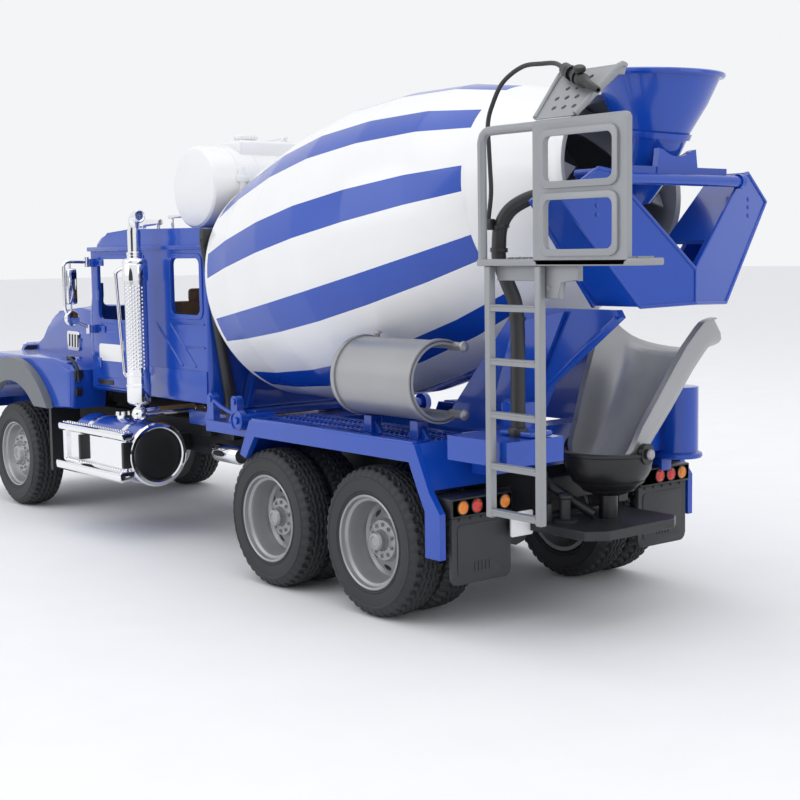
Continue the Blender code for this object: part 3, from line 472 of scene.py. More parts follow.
def drum():
    pitch = 2 * math.pi / STRIPES
    angles, blue_steps = [], []
    for stripe in range(STRIPES):
        start = STRIPE_CENTRE - STRIPE_WIDTH / 2 + pitch * stripe
        for step in range(4):
            blue_steps.append(len(angles))
            angles.append(start + STRIPE_WIDTH * step / 4)
        for step in range(7):
            angles.append(start + STRIPE_WIDTH + (pitch - STRIPE_WIDTH) * step / 7)
    blue_steps = set(blue_steps)
    breaks = [(60.1, 3.4), (65.5, 30.0), (70.0, 65.0), (71.0, 98.0), (67.8, 133.0), (61.0, 168.0),
        (51.9, 195.6)]
    outer = [(58.6, 0.0), (59.4, 0.2), (59.8, 0.8), (59.9, 2.0), (59.9, 3.2)]
    for (r0, s0), (r1, s1), (r2, s2) in zip(breaks, breaks[1:], breaks[2:]):
        outer.append((r1 - (r1 - r0) * 0.05, s1 - (s1 - s0) * 0.05))
        outer.append((r1 - 0.02, s1))
        outer.append((r1 + (r2 - r1) * 0.05, s1 + (s2 - s1) * 0.05))
    outer.append((51.9, 195.6))
    stripes_from, stripes_to = 4, len(outer) - 1
    outer += [(51.5, 196.2), (51.0, 197.2), (43.9, 215.0), (36.6, 232.4), (36.3, 233.6), (36.3, 236.8),
        (35.6, 237.8), (34.4, 238.0)]
    inner_from = len(outer) - 1
    inner = [(33.2, 237.4), (33.0, 233.0), (49.4, 195.0), (58.7, 167.0), (65.6, 132.0), (68.8, 98.0),
        (67.8, 66.0),
             (63.3, 31.0), (58.0, 10.0)]
    head_from = inner_from + len(inner)
    head = [(18.0, 11.5), (9.0, 18.0), (4.3, 18.0), (4.3, 8.0), (14.0, 8.0), (22.0, 7.6), (23.0, 6.2),
        (46.0, 5.2), (47.0, 6.0),
            (55.0, 5.5), (57.2, 4.6), (57.8, 0.6)]

    def paint(i, j):
        if stripes_from <= i < stripes_to and j in blue_steps:
            return 1
        # faces inside the drum, from the mouth's lip inward, get the painted-shade grey (material 2)
        return 2 if inner_from - 1 <= i < head_from else 0

    form = Form().lathe(outer + inner + head, DRUM_FRONT, DRUM_AXIS, angles=angles, paint=paint)
    made = form.done("drum_shell", "drum", "white", [WHITE, BLUE, PAINTED_SHADE_GREY], ("drum",), angle=40)
    side = Vector((1, 0, 0))
    front = side.cross(DRUM_AXIS)
    for blade in range(2):
        form = Form()
        rings = []
        for step in range(61):
            s = 122.0 + 108.0 * step / 60
            if s < 167:
                wall = 66.9 - (s - 122) * 0.2
            else:
                wall = 58.0 - (s - 167) * 0.33 if s < 195 else 48.9 - (s - 195) * 0.425
            turn = math.pi * blade + 2.1 * math.pi * step / 60
            out = side * math.cos(turn) + front * math.sin(turn)
            middle = DRUM_FRONT + DRUM_AXIS * s
            rings.append([middle + out * (wall - 1.2) - DRUM_AXIS * 0.7,
                middle + out * (wall - 14) - DRUM_AXIS * 0.5,
                          middle + out * (wall - 14) + DRUM_AXIS * 0.5,
                          middle + out * (wall - 1.2) + DRUM_AXIS * 0.7])
        # the blades take the painted-shade grey of the drum's inside
        form.loft(rings).done("drum_blade_%d" % (blade + 1), "drum", "white", PAINTED_SHADE_GREY)
    return made


# ---------------------------------------------------------------- wheels
TREAD_STEPS = 264
TREAD_WAVES = 44


def groove(across, turn, tread):
    """How deep the tyre is cut, 0 to 1, at a place across the tread."""
    wave = abs((turn * TREAD_WAVES / (2 * math.pi)) % 1.0 - 0.5) * 4 - 1
    width = tread[1] - tread[0]
    deep = 0.0
    for number in range(4):
        line = tread[0] + width * (0.2 + 0.2 * number) + wave * width * 0.035
        deep = max(deep, 1.0 - max(0.0, (abs(across - line) - width * 0.02) / (width * 0.022)))
    edge = min(across - tread[0], tread[1] - across) / width
    if edge < 0.13 and (turn * TREAD_WAVES / (2 * math.pi)) % 1.0 < 0.36:
        deep = 1.0
    return min(1.0, max(0.0, deep))


def tyre_mesh(treads, sidewall, name):
    """One or two treads side by side, turned about X, outer face towards +X."""
    stations = []
    for radius, across in sidewall[0]:
        stations.append((radius, across, None))
    for number, tread in enumerate(treads):
        if number:
            for radius, across in sidewall[1]:
                stations.append((radius, across, None))
        high, low = tread[1], tread[0]
        for step in range(29):
            stations.append((33.0, high - (high - low) * step / 28, tread))
    for radius, across in sidewall[2]:
        stations.append((radius, across, None))
    form = Form()
    rows = []
    for radius, across, tread in stations:
        row = []
        for step in range(TREAD_STEPS):
            turn = 2 * math.pi * step / TREAD_STEPS
            depth, crown = 0.0, 0.0
            if tread:
                depth = 1.25 * groove(across, turn, tread)
                middle = (across - sum(tread) / 2) / (tread[1] - tread[0]) * 2
                crown = 0.55 * middle ** 4
            elif radius > 29.6 and (turn * TREAD_WAVES / (2 * math.pi)) % 1.0 < 0.36:
                depth = 0.7
            reach = radius - depth - crown
            row.append(form.bm.verts.new((across, reach * math.cos(turn), reach * math.sin(turn))))
        rows.append(row)
    for row, following in zip(rows, rows[1:] + rows[:1]):
        for step in range(TREAD_STEPS):
            after = (step + 1) % TREAD_STEPS
            form.bm.faces.new((row[step], row[after], following[after], following[step]))
    bmesh.ops.recalc_face_normals(form.bm, faces=form.bm.faces)
    mesh = bpy.data.meshes.new(name)
    form.bm.to_mesh(mesh)
    form.bm.free()
    mesh.transform(Matrix.Scale(MM, 4))
    return mesh


def outer_wall(face, sign):
    """Sidewall stations from the bead to the shoulder; `sign` is +1 on the outer side."""
    wall = [(20.6, -2.2), (21.0, -1.0), (21.9, -0.5), (22.3, -0.75), (22.7, -0.35), (25.5, 0.0),
        (27.6, -0.05), (28.0, 0.25), (28.6, 0.25),
            (28.9, -0.25), (30.3, -0.8), (31.6, -1.5), (32.3, -2.3)]
    return [(radius, face + sign * inset) for radius, inset in wall]


def make_tyres():
    notch = [(31.8, -16.6), (30.6, -17.8), (27.0, -18.3), (23.6, -18.6), (23.6, -19.4), (27.0, -19.7),
        (30.6, -20.2), (31.8, -21.4)]
    dual = tyre_mesh([(-15.2, -3.0), (-35.0, -22.8)],
                     [outer_wall(-0.2, 1), notch, outer_wall(-37.8, -1)[::-1]], "dual_tyre")
    front = tyre_mesh([(-7.6, 7.6)], [outer_wall(10.2, 1), [], outer_wall(-10.2, -1)[::-1]], "front_tyre")
    return dual, front


def rim_holes(form, count, ring, size, depth):
    cutter = Form()
    for step in range(count):
        turn = 2 * math.pi * (step + 0.5) / count
        centre = Vector((0, ring * math.cos(turn), ring * math.sin(turn)))
        radial = centre.normalized()
        around = Vector((1, 0, 0)).cross(radial)
        rings = []
        for x in depth:
            rings.append([
                centre + Vector((x, 0, 0)) + radial * size[0] * math.cos(a) + around * size[1] * math.sin(a)
                for a in (2 * math.pi * k / 20 for k in range(20))
            ])
        cutter.loft(rings)
    return form.boolean(cutter)


def rim_mesh(form, name):
    bmesh.ops.recalc_face_normals(form.bm, faces=form.bm.faces)
    mesh = bpy.data.meshes.new(name)
    form.bm.to_mesh(mesh)
    form.bm.free()
    mesh.transform(Matrix.Scale(MM, 4))
    return mesh


def make_rims():
    """Deep dished twin rim and a shallow front rim, outer face towards +X."""
    dual = [
        (3.4, -7.5), (3.4, -30.0), (8.0, -30.0), (8.0, -15.6), (16.6, -16.2), (18.2, -37.0), (20.1, -37.0),
        (20.1, -3.0), (20.8, -1.6),
        (20.9, -0.9), (20.4, -0.5), (19.7, -0.9), (19.3, -2.6), (18.7, -3.2), (18.1, -3.4), (17.6, -4.6),
        (17.5, -9.0),
        (17.0, -10.0), (16.5, -12.4), (15.4, -13.6), (14.6, -13.4), (10.8, -11.7), (9.6, -11.0), (9.2, -9.4),
        (8.8, -8.7), (4.9, -8.2), (4.5, -7.0),
    ]
    form = rim_holes(Form().lathe(dual, (0, 0, 0), (1, 0, 0), 96), 8, 13.1, (1.35, 2.5), (-18.0, -8.0))
    for step in range(10):
        turn = 2 * math.pi * step / 10
        form.bolt((-8.5, 7.0 * math.cos(turn), 7.0 * math.sin(turn)), (1, 0, 0), 0.75, 1.2)
    form.lathe([(0, -8), (4.2, -8), (4.2, -5.2), (3.6, -4.2), (2.4, -3.9), (2.2, -4.3), (0, -4.3)], (0, 0, 0),
        (1, 0, 0), 40)
    dual_mesh = rim_mesh(form, "dual_rim")
    front = [
        (3.4, 4.0), (3.4, -8.2), (8.0, -8.2), (8.0, -1.0), (17.0, -0.6), (18.4, -8.2), (20.1, -8.2),
        (20.1, 7.0), (20.7, 8.6),
        (20.4, 9.2), (19.7, 8.9), (19.2, 7.2), (18.4, 6.6), (17.9, 5.4), (17.5, 3.2), (16.6, 1.9),
        (15.6, 1.6), (12.9, 3.6),
        (12.4, 4.6), (11.6, 5.2), (6.2, 5.5), (5.6, 6.4), (5.2, 7.6),
    ]
    form = rim_holes(Form().lathe(front, (0, 0, 0), (1, 0, 0), 96), 10, 14.6, (0.95, 1.3), (-3.0, 6.0))
    for count, ring, size in ((10, 9.9, 0.75), (20, 7.4, 0.45)):
        for step in range(count):
            turn = 2 * math.pi * step / count
            form.bolt((5.3, ring * math.cos(turn), ring * math.sin(turn)), (1, 0, 0), size, 1.1)
    form.lathe([(0, 4), (5.3, 4), (5.3, 7.4), (4.6, 8.2), (3.0, 8.4), (2.8, 7.9), (0, 7.9)], (0, 0, 0),
        (1, 0, 0), 40)
    return dual_mesh, rim_mesh(form, "front_rim")


def wheels():
    dual_tyre, front_tyre = make_tyres()
    dual_rim, front_rim = make_rims()
    for side_name, side in SIDES:
        turn = Matrix.Rotation(0.0 if side > 0 else math.pi, 4, "Z")
        spots = [("front_tyre_", "front_rim_", "front_wheel_", front_tyre, front_rim, 58.5, FRONT_AXLE_Y)]
        for number, axle_y in enumerate(REAR_AXLES_Y, 1):
            spots.append(("dual_tyre_%d_" % number, "dual_rim_%d_" % number, "rear_wheel_%d_" % number,
                          dual_tyre, dual_rim, 77.4, axle_y))
        for tyre, rim, body, tyre_shape, rim_shape, x, y in spots:
            spin = Matrix.Rotation(math.radians(y * 3.7), 4, "X")
            place = Matrix.Translation(Vector((side * x, y, AXLE_Z)) * MM) @ turn
            tyre_shape, rim_shape = tyre_shape.copy(), rim_shape.copy()
            tyre_shape.transform(spin)
            rim_shape.transform(spin)
            finish_piece(tyre + side_name + "_tread", tyre_shape, body + side_name, RUBBER,
                         (tyre + side_name,), angle=30, place=place)
            finish_piece(rim + side_name + "_dish", rim_shape, body + side_name, SILVER,
                         (rim + side_name,), angle=30, place=place)


# ---------------------------------------------------------------- cab
def cab():
    outline = [(-153.0, 78.0), (-17.5, 78.0), (-17.5, 166.0)] + arc((-22.5, 167.0), 5.0, 0, 90, 5)
    outline += [(-100.0, 172.8), (-126.0, 171.2), (-136.0, 169.2), (-141.5, 165.5), (-153.0, 124.0)]
    inside = [(-151.0, 70.0), (-19.5, 70.0), (-19.5, 166.0), (-23.0, 169.6), (-100.0, 170.4), (-126.0, 168.9),
        (-134.5, 167.0), (-139.4, 164.5), (-151.0, 123.5)]
    shell = Form().prism(outline, "X", -52.0, 52.0, round_by=3.4, segments=4)
    cuts = Form().prism(inside, "X", -50.0, 50.0)
    shell.boolean(cuts)
    for opening, axis, low, high in (
        (rounded_rectangle((-44.0, 44.0), (128.0, 160.0), 4.0), "Y", -160.0, -136.0),
        (rounded_rectangle((-26.0, 26.0), (128.0, 156.0), 4.0), "Y", -25.0, -10.0),
        (rounded_rectangle((-148.0, -86.0), (81.0, 162.0), 1.2), "X", -60.0, 60.0),
        (rounded_rectangle((-54.0, -24.0), (126.0, 156.0), 3.5), "X", -60.0, 60.0),
    ):
        shell.boolean(Form().prism(opening, axis, low, high))
    shell.done("cab_shell_body", "chassis", "blue", BLUE, ("cab_shell",), bevel=0.25)
    for side_name, side in SIDES:
        trim = Form()
        low, high = mirrored((51.7, 52.7), side)
        frame_ring = Form().prism(rounded_rectangle((-56.6, -21.2), (123.4, 158.6), 5.0), "X", low, high)
        frame_ring.boolean(Form().prism(rounded_rectangle((-54.0, -24.0), (126.0, 156.0), 3.5), "X", low - 2,
            high + 2))
        frame_ring.done("cab_window_frame_" + side_name, "chassis", "blue", BLUE, bevel=0.3)
        trim.box(mirrored((51.6, 53.4), side), (-150.0, -19.5), (160.6, 163.2), 0.6)
        trim.box(mirrored((51.6, 52.6), side), (-84.5, -19.0), (79.0, 96.0), 0.35)
        trim.box(mirrored((51.7, 52.5), side), (-84.5, -83.4), (97.0, 158.0), 0.25)
        for start_y, end_y, low_z in ((-72.0, -44.0, 98.0), (-56.0, -30.0, 98.0)):
            top = Vector((side * 52.1, start_y, 121.0))
            foot = Vector((side * 52.1, end_y, low_z))
            trim.rod(top, foot, 0.55, 8)
        trim.rod((side * 52.1, -40.0, 108.5), (side * 52.1, -20.5, 108.5), 0.5, 8)
        trim.rod((side * 52.1, -56.0, 121.0), (side * 52.1, -20.5, 121.0), 0.5, 8)
        trim.done("cab_trim_" + side_name, "chassis", "blue", BLUE)
        rail = Form()
        rail.tube([(side * x, y, z) for x, y, z in (
            (52.4, -91.0, 151.6), (56.4, -99.0, 151.0), (58.4, -104.4, 148.6), (58.4, -104.6, 143.0),
            (58.4, -98.8, 97.0), (58.2, -97.8, 91.0), (56.4, -95.0, 88.6), (52.4, -90.5, 87.8))], 1.05)
        rail.rod((side * 51.8, -90.6, 151.7), (side * 53.4, -91.8, 151.5), 2.0, 16)
        rail.rod((side * 51.8, -90.2, 87.7), (side * 53.4, -91.2, 88.0), 2.0, 16)
        rail.done("grab_rail_" + side_name, "door_" + side_name, "chrome", CHROME, angle=50)
    roof = Form()
    for x in (-26.0, 26.0):
        roof.lathe([(0, -13), (3.6, -13), (4.0, -12), (2.2, -3), (1.7, 8), (1.7, 13), (0, 13)],
            (x, -122.0, 177.0), (0, 1, 0.0), 24)
        for y in (-129.0, -112.0):
            roof.rod((x, y, 171.0), (x, y, 175.6), 1.3, 10)
    for x in (-36.0, -18.0, 0.0, 18.0, 36.0):
        roof.dome((x, -131.0, 170.0), (0, -0.2, 1), 3.2, 2.6, 18, 4)
    roof.done("roof_horns", "chassis", "chrome", CHROME, angle=50)
    bar = Form()
    bar.tube([(14.0, -120.0, 180.5), (14.0, -104.0, 180.5), (14.0, -86.0, 180.5)], 1.1)
    bar.rod((14.0, -116.0, 171.0), (14.0, -116.0, 180.5), 1.0, 10)
    bar.rod((14.0, -90.0, 171.0), (14.0, -90.0, 180.5), 1.0, 10)
    bar.done("roof_bar", "chassis", "chrome", CHROME, angle=50)
    Form().box((10.0, 19.0), (-86.0, -76.0), (172.3, 180.6), 0.7).done("roof_vent_box", "chassis",
        "ladder_grey", GREY)
    visor = Form().prism([(-152.0, 158.6), (-141.0, 166.6), (-140.0, 165.2), (-150.6, 157.2)], "X", -47.0,
        47.0, 0.35)
    visor.done("sun_visor", "chassis", "chrome", CHROME)


def interior():
    soften("cab_interior", TAN, 0.9)
    seats = Form()
    for _, side in SIDES:
        x = mirrored((9.4, 38.6), side)
        seats.box(x, (-103.0, -74.5), (96.4, 99.4), 1.3, 3)
        seats.box((x[0] + 1, x[1] - 1), (-76.4, -73.6), (99.0, 129.0), 1.2, 3)
        seats.box((x[0] + 8, x[1] - 8), (-74.0, -67.0), (131.0, 139.0), 2.0, 3)
    seats.done("seat_pads", "chassis", "tan", TAN)
    dash = Form()
    for x in (14.0, 21.0, 28.0, 34.0):
        dash.rod((x, -137.2, 111.5), (x, -136.6, 111.5), 2.4, 20)
    dash.box((-34.0, -8.0), (-137.2, -136.5), (104.0, 114.0), 0.25)
    dash.done("dash_gauges", "chassis", "black", BLACK)
    column = Vector((0.0, math.sin(math.radians(35)), math.cos(math.radians(35))))
    centre = Vector((24.0, -128.0, 119.0))
    across = Vector((1, 0, 0))
    down = column.cross(across)
    wheel = Form().lathe(arc((11.0, 0.0), 1.3, 0, 345, 11), centre, column, 56)
    wheel.lathe([(0, -1.4), (3.2, -1.4), (3.2, 0.9), (2.6, 1.6), (0, 1.8)], centre, column, 28)
    for turn in (-90, 30, 150):
        spoke = across * math.cos(math.radians(turn)) + down * math.sin(math.radians(turn))
        wheel.rod(centre + spoke * 2.0, centre + spoke * 10.6, 1.0, 10, 0.8)
    wheel.done("steering_wheel_rim", "steering_wheel", "black", BLACK, ("steering_wheel",))


def doors():
    for side_name, side in SIDES:
        body = "door_" + side_name
        low, high = mirrored((50.3, 52.0), side)
        skin = Form().prism(rounded_rectangle((-147.7, -86.3), (81.3, 161.7), 1.2), "X", low, high, 0.3)
        skin.boolean(Form().prism(rounded_rectangle((-139.0, -94.0), (121.0, 156.0), 3.5), "X", low - 5,
            high + 5))
        skin.done("door_skin_" + side_name, body, "blue", BLUE, ("door_" + side_name,), bevel=0.2)
        low, high = mirrored((51.9, 52.5), side)
        ring = Form().prism(rounded_rectangle((-141.6, -91.4), (118.6, 158.4), 5.0), "X", low, high)
        ring.boolean(Form().prism(rounded_rectangle((-139.0, -94.0), (121.0, 156.0), 3.5), "X", low - 2,
            high + 2))
        ring.done("door_window_frame_" + side_name, body, "blue", BLUE, bevel=0.2)
        pads = Form()
        for z in (115.0, 154.0):
            pads.box(mirrored((51.8, 55.0), side), (-147.0, -140.5), (z - 2.4, z + 2.4), 0.5)
            for edge in (-1.6, 1.6):
                pads.bolt((side * 52.3, -137.0, z + edge * 0.0), (side, 0, 0), 0.8, 0.8)
            pads.box(mirrored((51.8, 52.8), side), (-141.0, -131.5), (z - 1.9, z + 1.9), 0.3)
        pads.box(mirrored((51.8, 52.8), side), (-141.5, -137.5), (92.0, 98.0), 0.35)
        pads.box(mirrored((51.8, 52.8), side), (-141.5, -137.5), (132.0, 138.0), 0.35)
        for y0, y1, z0, z1 in ((-144.5, -90.0, 86.0, 86.9), (-144.5, -90.0, 113.6, 114.5)):
            pads.box(mirrored((51.8, 52.35), side), (y0, y1), (z0, z1), 0.2)
        pads.done("door_fittings_" + side_name, body, "blue", BLUE)
        handle = Form().box(mirrored((51.9, 53.4), side), (-98.0, -89.5), (107.0, 109.6), 0.7, 3)
        handle.box(mirrored((51.8, 52.3), side), (-99.5, -88.5), (104.8, 110.6), 0.2)
        handle.done("door_handle_" + side_name, body, "chrome", CHROME)
        plate = Form().prism(rounded_rectangle((-140.0, -112.0), (96.5, 106.5), 1.6), "X",
            *mirrored((51.8, 52.3), side), 0.15)
        plate.done("door_blank_badge_" + side_name, body, "white", WHITE)
        small = Form().prism(rounded_rectangle((-143.0, -124.0), (82.4, 85.2), 0.5), "X",
            *mirrored((51.8, 52.25), side), 0.1)
        small.done("door_blank_strip_" + side_name, body, "black", BLACK)

        body = "mirror_" + side_name
        arm = Form()
        arm.tube([(side * 56.6, -143.5, 154.5), (side * 62.0, -143.2, 154.8), (side * 69.6, -142.0, 154.8),
            (side * 72.4, -141.6, 153.2),
                  (side * 72.8, -141.5, 149.0), (side * 72.8, -141.5, 131.0), (side * 72.2, -141.6, 126.6),
                  (side * 68.0, -142.4, 121.8), (side * 57.0, -143.4, 116.0)], 1.1, 14, 1.2)
        arm.rod((side * 57.0, -143.5, 112.4), (side * 57.0, -143.5, 117.6), 1.5, 16)
        arm.rod((side * 57.0, -143.5, 151.6), (side * 57.0, -143.5, 157.4), 1.5, 16)
        arm.rod((side * 68.4, -142.4, 150.6), (side * 68.4, -142.4, 154.8), 0.7, 10)
        arm.rod((side * 68.4, -142.4, 124.0), (side * 68.4, -142.4, 130.4), 0.7, 10)
        arm.box(mirrored((64.8, 71.8), side), (-144.4, -139.9), (130.0, 151.0), 1.3, 3)
        arm.lathe([(0, -0.6), (3.6, -0.6), (4.6, 0.4), (4.6, 1.6), (4.2, 2.0), (0, 1.8)],
            (side * 68.5, -142.6, 121.8), (0, 1, 0), 28)
        arm.done("mirror_arm_" + side_name, body, "chrome", CHROME, ("mirror_" + side_name,), angle=50)
        glass = Form().prism(rounded_rectangle(mirrored((65.5, 71.1), side), (131.2, 149.8), 0.9), "Y",
            -140.1, -139.6, 0.1)
        glass.lathe([(0, 0), (3.9, 0), (3.7, 0.35), (0, 0.6)], (side * 68.5, -140.9, 121.8), (0, 1, 0), 28)
        glass.done("mirror_glass_" + side_name, body, "chrome", MIRROR)


# ---------------------------------------------------------------- hood and front
def hood():
    top = [(-154.0, 88.0), (-154.0, 124.6), (-155.6, 126.4), (-190.0, 126.0), (-228.0, 123.0),
        (-240.0, 120.2), (-246.0, 117.6),
           (-253.0, 111.5), (-263.0, 104.0), (-272.0, 97.6), (-283.0, 94.0), (-288.6, 90.8), (-290.0, 88.0),
           (-290.0, 60.0)]
    crown = [(-150.0, 92.0), (-150.0, 124.0), (-190.0, 123.4), (-227.0, 120.4), (-243.5, 115.8),
        (-250.0, 109.5), (-261.0, 101.5), (-270.0, 92.0)]
    bay = [(-150.0, 40.0), (-150.0, 93.0), (-279.0, 93.0), (-287.8, 86.5), (-287.8, 40.0)]
    fender = [(-156.0, 67.0), (-154.0, 90.0), (-158.0, 93.0), (-178.0, 96.0), (-273.0, 96.0), (-281.0, 93.2),
        (-286.0, 87.0), (-290.0, 58.0)]

    def tapered(form):
        for vert in form.bm.verts:
            vert.co.x *= 1.0 - HOOD_TAPER * max(0.0, COWL_Y - vert.co.y)
        return form

    shell = tapered(Form().prism(top, "X", -44.0, 44.0, 3.4, 4))
    shell.boolean(Form().prism(fender, "X", -64.6, 64.6, 3.4, 4), "UNION")
    shell.boolean(tapered(Form().prism(crown, "X", -41.5, 41.5)))
    shell.boolean(Form().prism(bay, "X", -41.3, 41.3))
    arch = [(-275.0, 20.0)] + arc(ARCH_CENTRE, 45.0, 180, 0, 32) + [(-185.0, 20.0)]
    for _, side in SIDES:
        shell.boolean(Form().prism(arch, "X", *mirrored((43.5, 80.0), side)))
        shell.boolean(Form().box(mirrored((43.5, 80.0), side), (-186.5, -182.7), (30.0, 66.4)))
        shell.boolean(Form().box(mirrored((43.5, 62.2), side), (-186.5, -158.5), (40.0, 89.0)))
        shell.boolean(Form().box(mirrored((43.5, 62.2), side), (-287.0, -262.0), (40.0, 86.0)))
    shell.done("hood_shell", "hood", "blue", BLUE, ("hood",), bevel=0.3, angle=30)
    raised = [(-156.0, 125.2), (-190.0, 124.8), (-227.0, 121.8), (-240.0, 118.4), (-242.0, 120.9),
        (-228.0, 124.5), (-190.0, 127.5), (-158.0, 127.9)]
    tapered(Form().prism(raised, "X", -25.0, 25.0, 0.8, 3)).done("hood_crown", "hood", "blue", BLUE)
    for side_name, side in SIDES:
        vent = tapered(Form().prism(rounded_rectangle((-212.0, -190.0), (99.0, 111.0), 2.2), "X",
            *mirrored((43.4, 45.4), side), 0.3))
        slots = Form()
        for step in range(4):
            y = -209.2 + 5.2 * step
            slots.prism([(y, 101.0), (y + 3.0, 101.0), (y + 3.8, 109.0), (y + 0.8, 109.0)], "X",
                *mirrored((36.0, 50.0), side))
        vent.boolean(tapered(slots))
        vent.done("hood_vent_" + side_name, "hood", "chrome", CHROME, bevel=0.15)
        backing = tapered(Form().box(mirrored((43.6, 44.5), side), (-210.8, -191.2), (100.2, 109.8)))
        backing.done("hood_vent_back_" + side_name, "hood", "black", BLACK)
        strap = Form()
        strap.tube([(side * 60.0, -167.0, 97.4), (side * 60.0, -160.0, 95.6), (side * 60.0, -154.4, 91.0),
            (side * 60.0, -152.6, 83.0)], 0.9, 10)
        strap.box(mirrored((56.6, 62.2), side), (-156.4, -153.2), (84.6, 90.4), 0.8, 3)
        strap.box(mirrored((57.2, 61.6), side), (-155.6, -153.6), (74.5, 79.5), 0.6, 3)
        strap.box(mirrored((56.4, 60.4), side), (-168.0, -163.6), (95.4, 97.8), 0.7, 3)
        strap.done("hood_latch_" + side_name, "hood", "black", BLACK)
        flare = arc(ARCH_CENTRE, 60.0, 180, 31, 48) + arc(ARCH_CENTRE, 45.3, 43, 180, 44)
        band = Form().prism(flare, "X", *mirrored((64.7, 69.5), side), 0.9, 3)
        band.done("fender_flare_band_" + side_name, "hood", "ladder_grey", FLARE,
            ("fender_flare_" + side_name,), angle=30)
        lamp = Form().prism(rounded_rectangle(mirrored((46.0, 63.6), side), (66.0, 84.0), 3.5), "Y", -291.4,
            -286.0, 0.5)
        lamp.boolean(Form().prism(rounded_rectangle(mirrored((47.6, 62.0), side), (67.6, 82.4), 2.5), "Y",
            -295.0, -290.2))
        lamp.done("headlamp_surround_" + side_name, "hood", "chrome", CHROME, bevel=0.2)
        lens = Form().prism(rounded_rectangle(mirrored((47.8, 61.8), side), (67.8, 82.2), 2.4), "Y", -291.1,
            -289.8, 0.4, 3)
        lens.done("headlamp_lens_" + side_name, "hood", "chrome", CLEAR)
    surround = Form().prism(rounded_rectangle((-34.0, 34.0), (60.6, 100.0), 4.0), "Y", -291.9, -289.6, 0.4)
    surround.boolean(Form().prism(rounded_rectangle((-31.6, 31.6), (62.6, 98.0), 2.6), "Y", -296.0, -285.0))
    surround.done("grille_surround", "hood", "chrome", CHROME)
    bars = soften("radiator_grille", CHROME, 0.5)
    mesh_back = Form().box((-31.0, 31.0), (-290.2, -289.9), (63.0, 97.6))
    mesh_back.done("grille_back", "hood", "black", BLACK)
    return bars


def front_end():
    bumper = Form().prism([(-291.3, 28.6), (-291.3, 49.9), (-300.0, 49.9), (-302.2, 48.4), (-303.0, 45.4),
        (-303.0, 33.4), (-302.2, 30.4), (-300.0, 28.6)],
                          "X", -66.0, 66.0, 1.6, 3)
    bumper.done("bumper_bar", "chassis", "chrome", CHROME, ("front_bumper",), angle=30)
    lamps = Form()
    for _, side in SIDES:
        for x in (54.0,):
            lamps.lathe([(0, -0.5), (4.6, -0.5), (4.6, 0.4), (3.9, 0.9), (0, 1.4)], (side * x, -302.4, 39.5),
                (0, -1, 0), 28)
    lamps.done("fog_lamps", "chassis", "chrome", CLEAR)
    hooks = Form()
    for _, side in SIDES:
        hooks.tube([(side * 28.0, -296.0, 30.5), (side * 28.0, -300.0, 27.6), (side * 33.0, -301.5, 26.4),
            (side * 38.0, -300.0, 27.6), (side * 38.0, -296.0, 30.5)], 1.1)
    hooks.done("tow_hooks", "chassis", "black", BLACK)
    soften("splash_guard", BLACK, 0.7)
    for node in ("front_axle", "engine_block", "rear_axle_1", "rear_axle_2"):
        soften(node, DARK, 0.8)
    ribs = Form()
    for step in range(6):
        y = -246.0 + 8.6 * step
        for _, side in SIDES:
            ribs.box(mirrored((16.6, 18.2), side), (y, y + 3.0), (68.0, 90.0), 0.5)
        ribs.rod((0, y + 1.5, 97.0), (0, y + 1.5, 99.0), 2.6, 16)
    ribs.done("engine_ribs", "chassis", "chassis_grey", DARK)


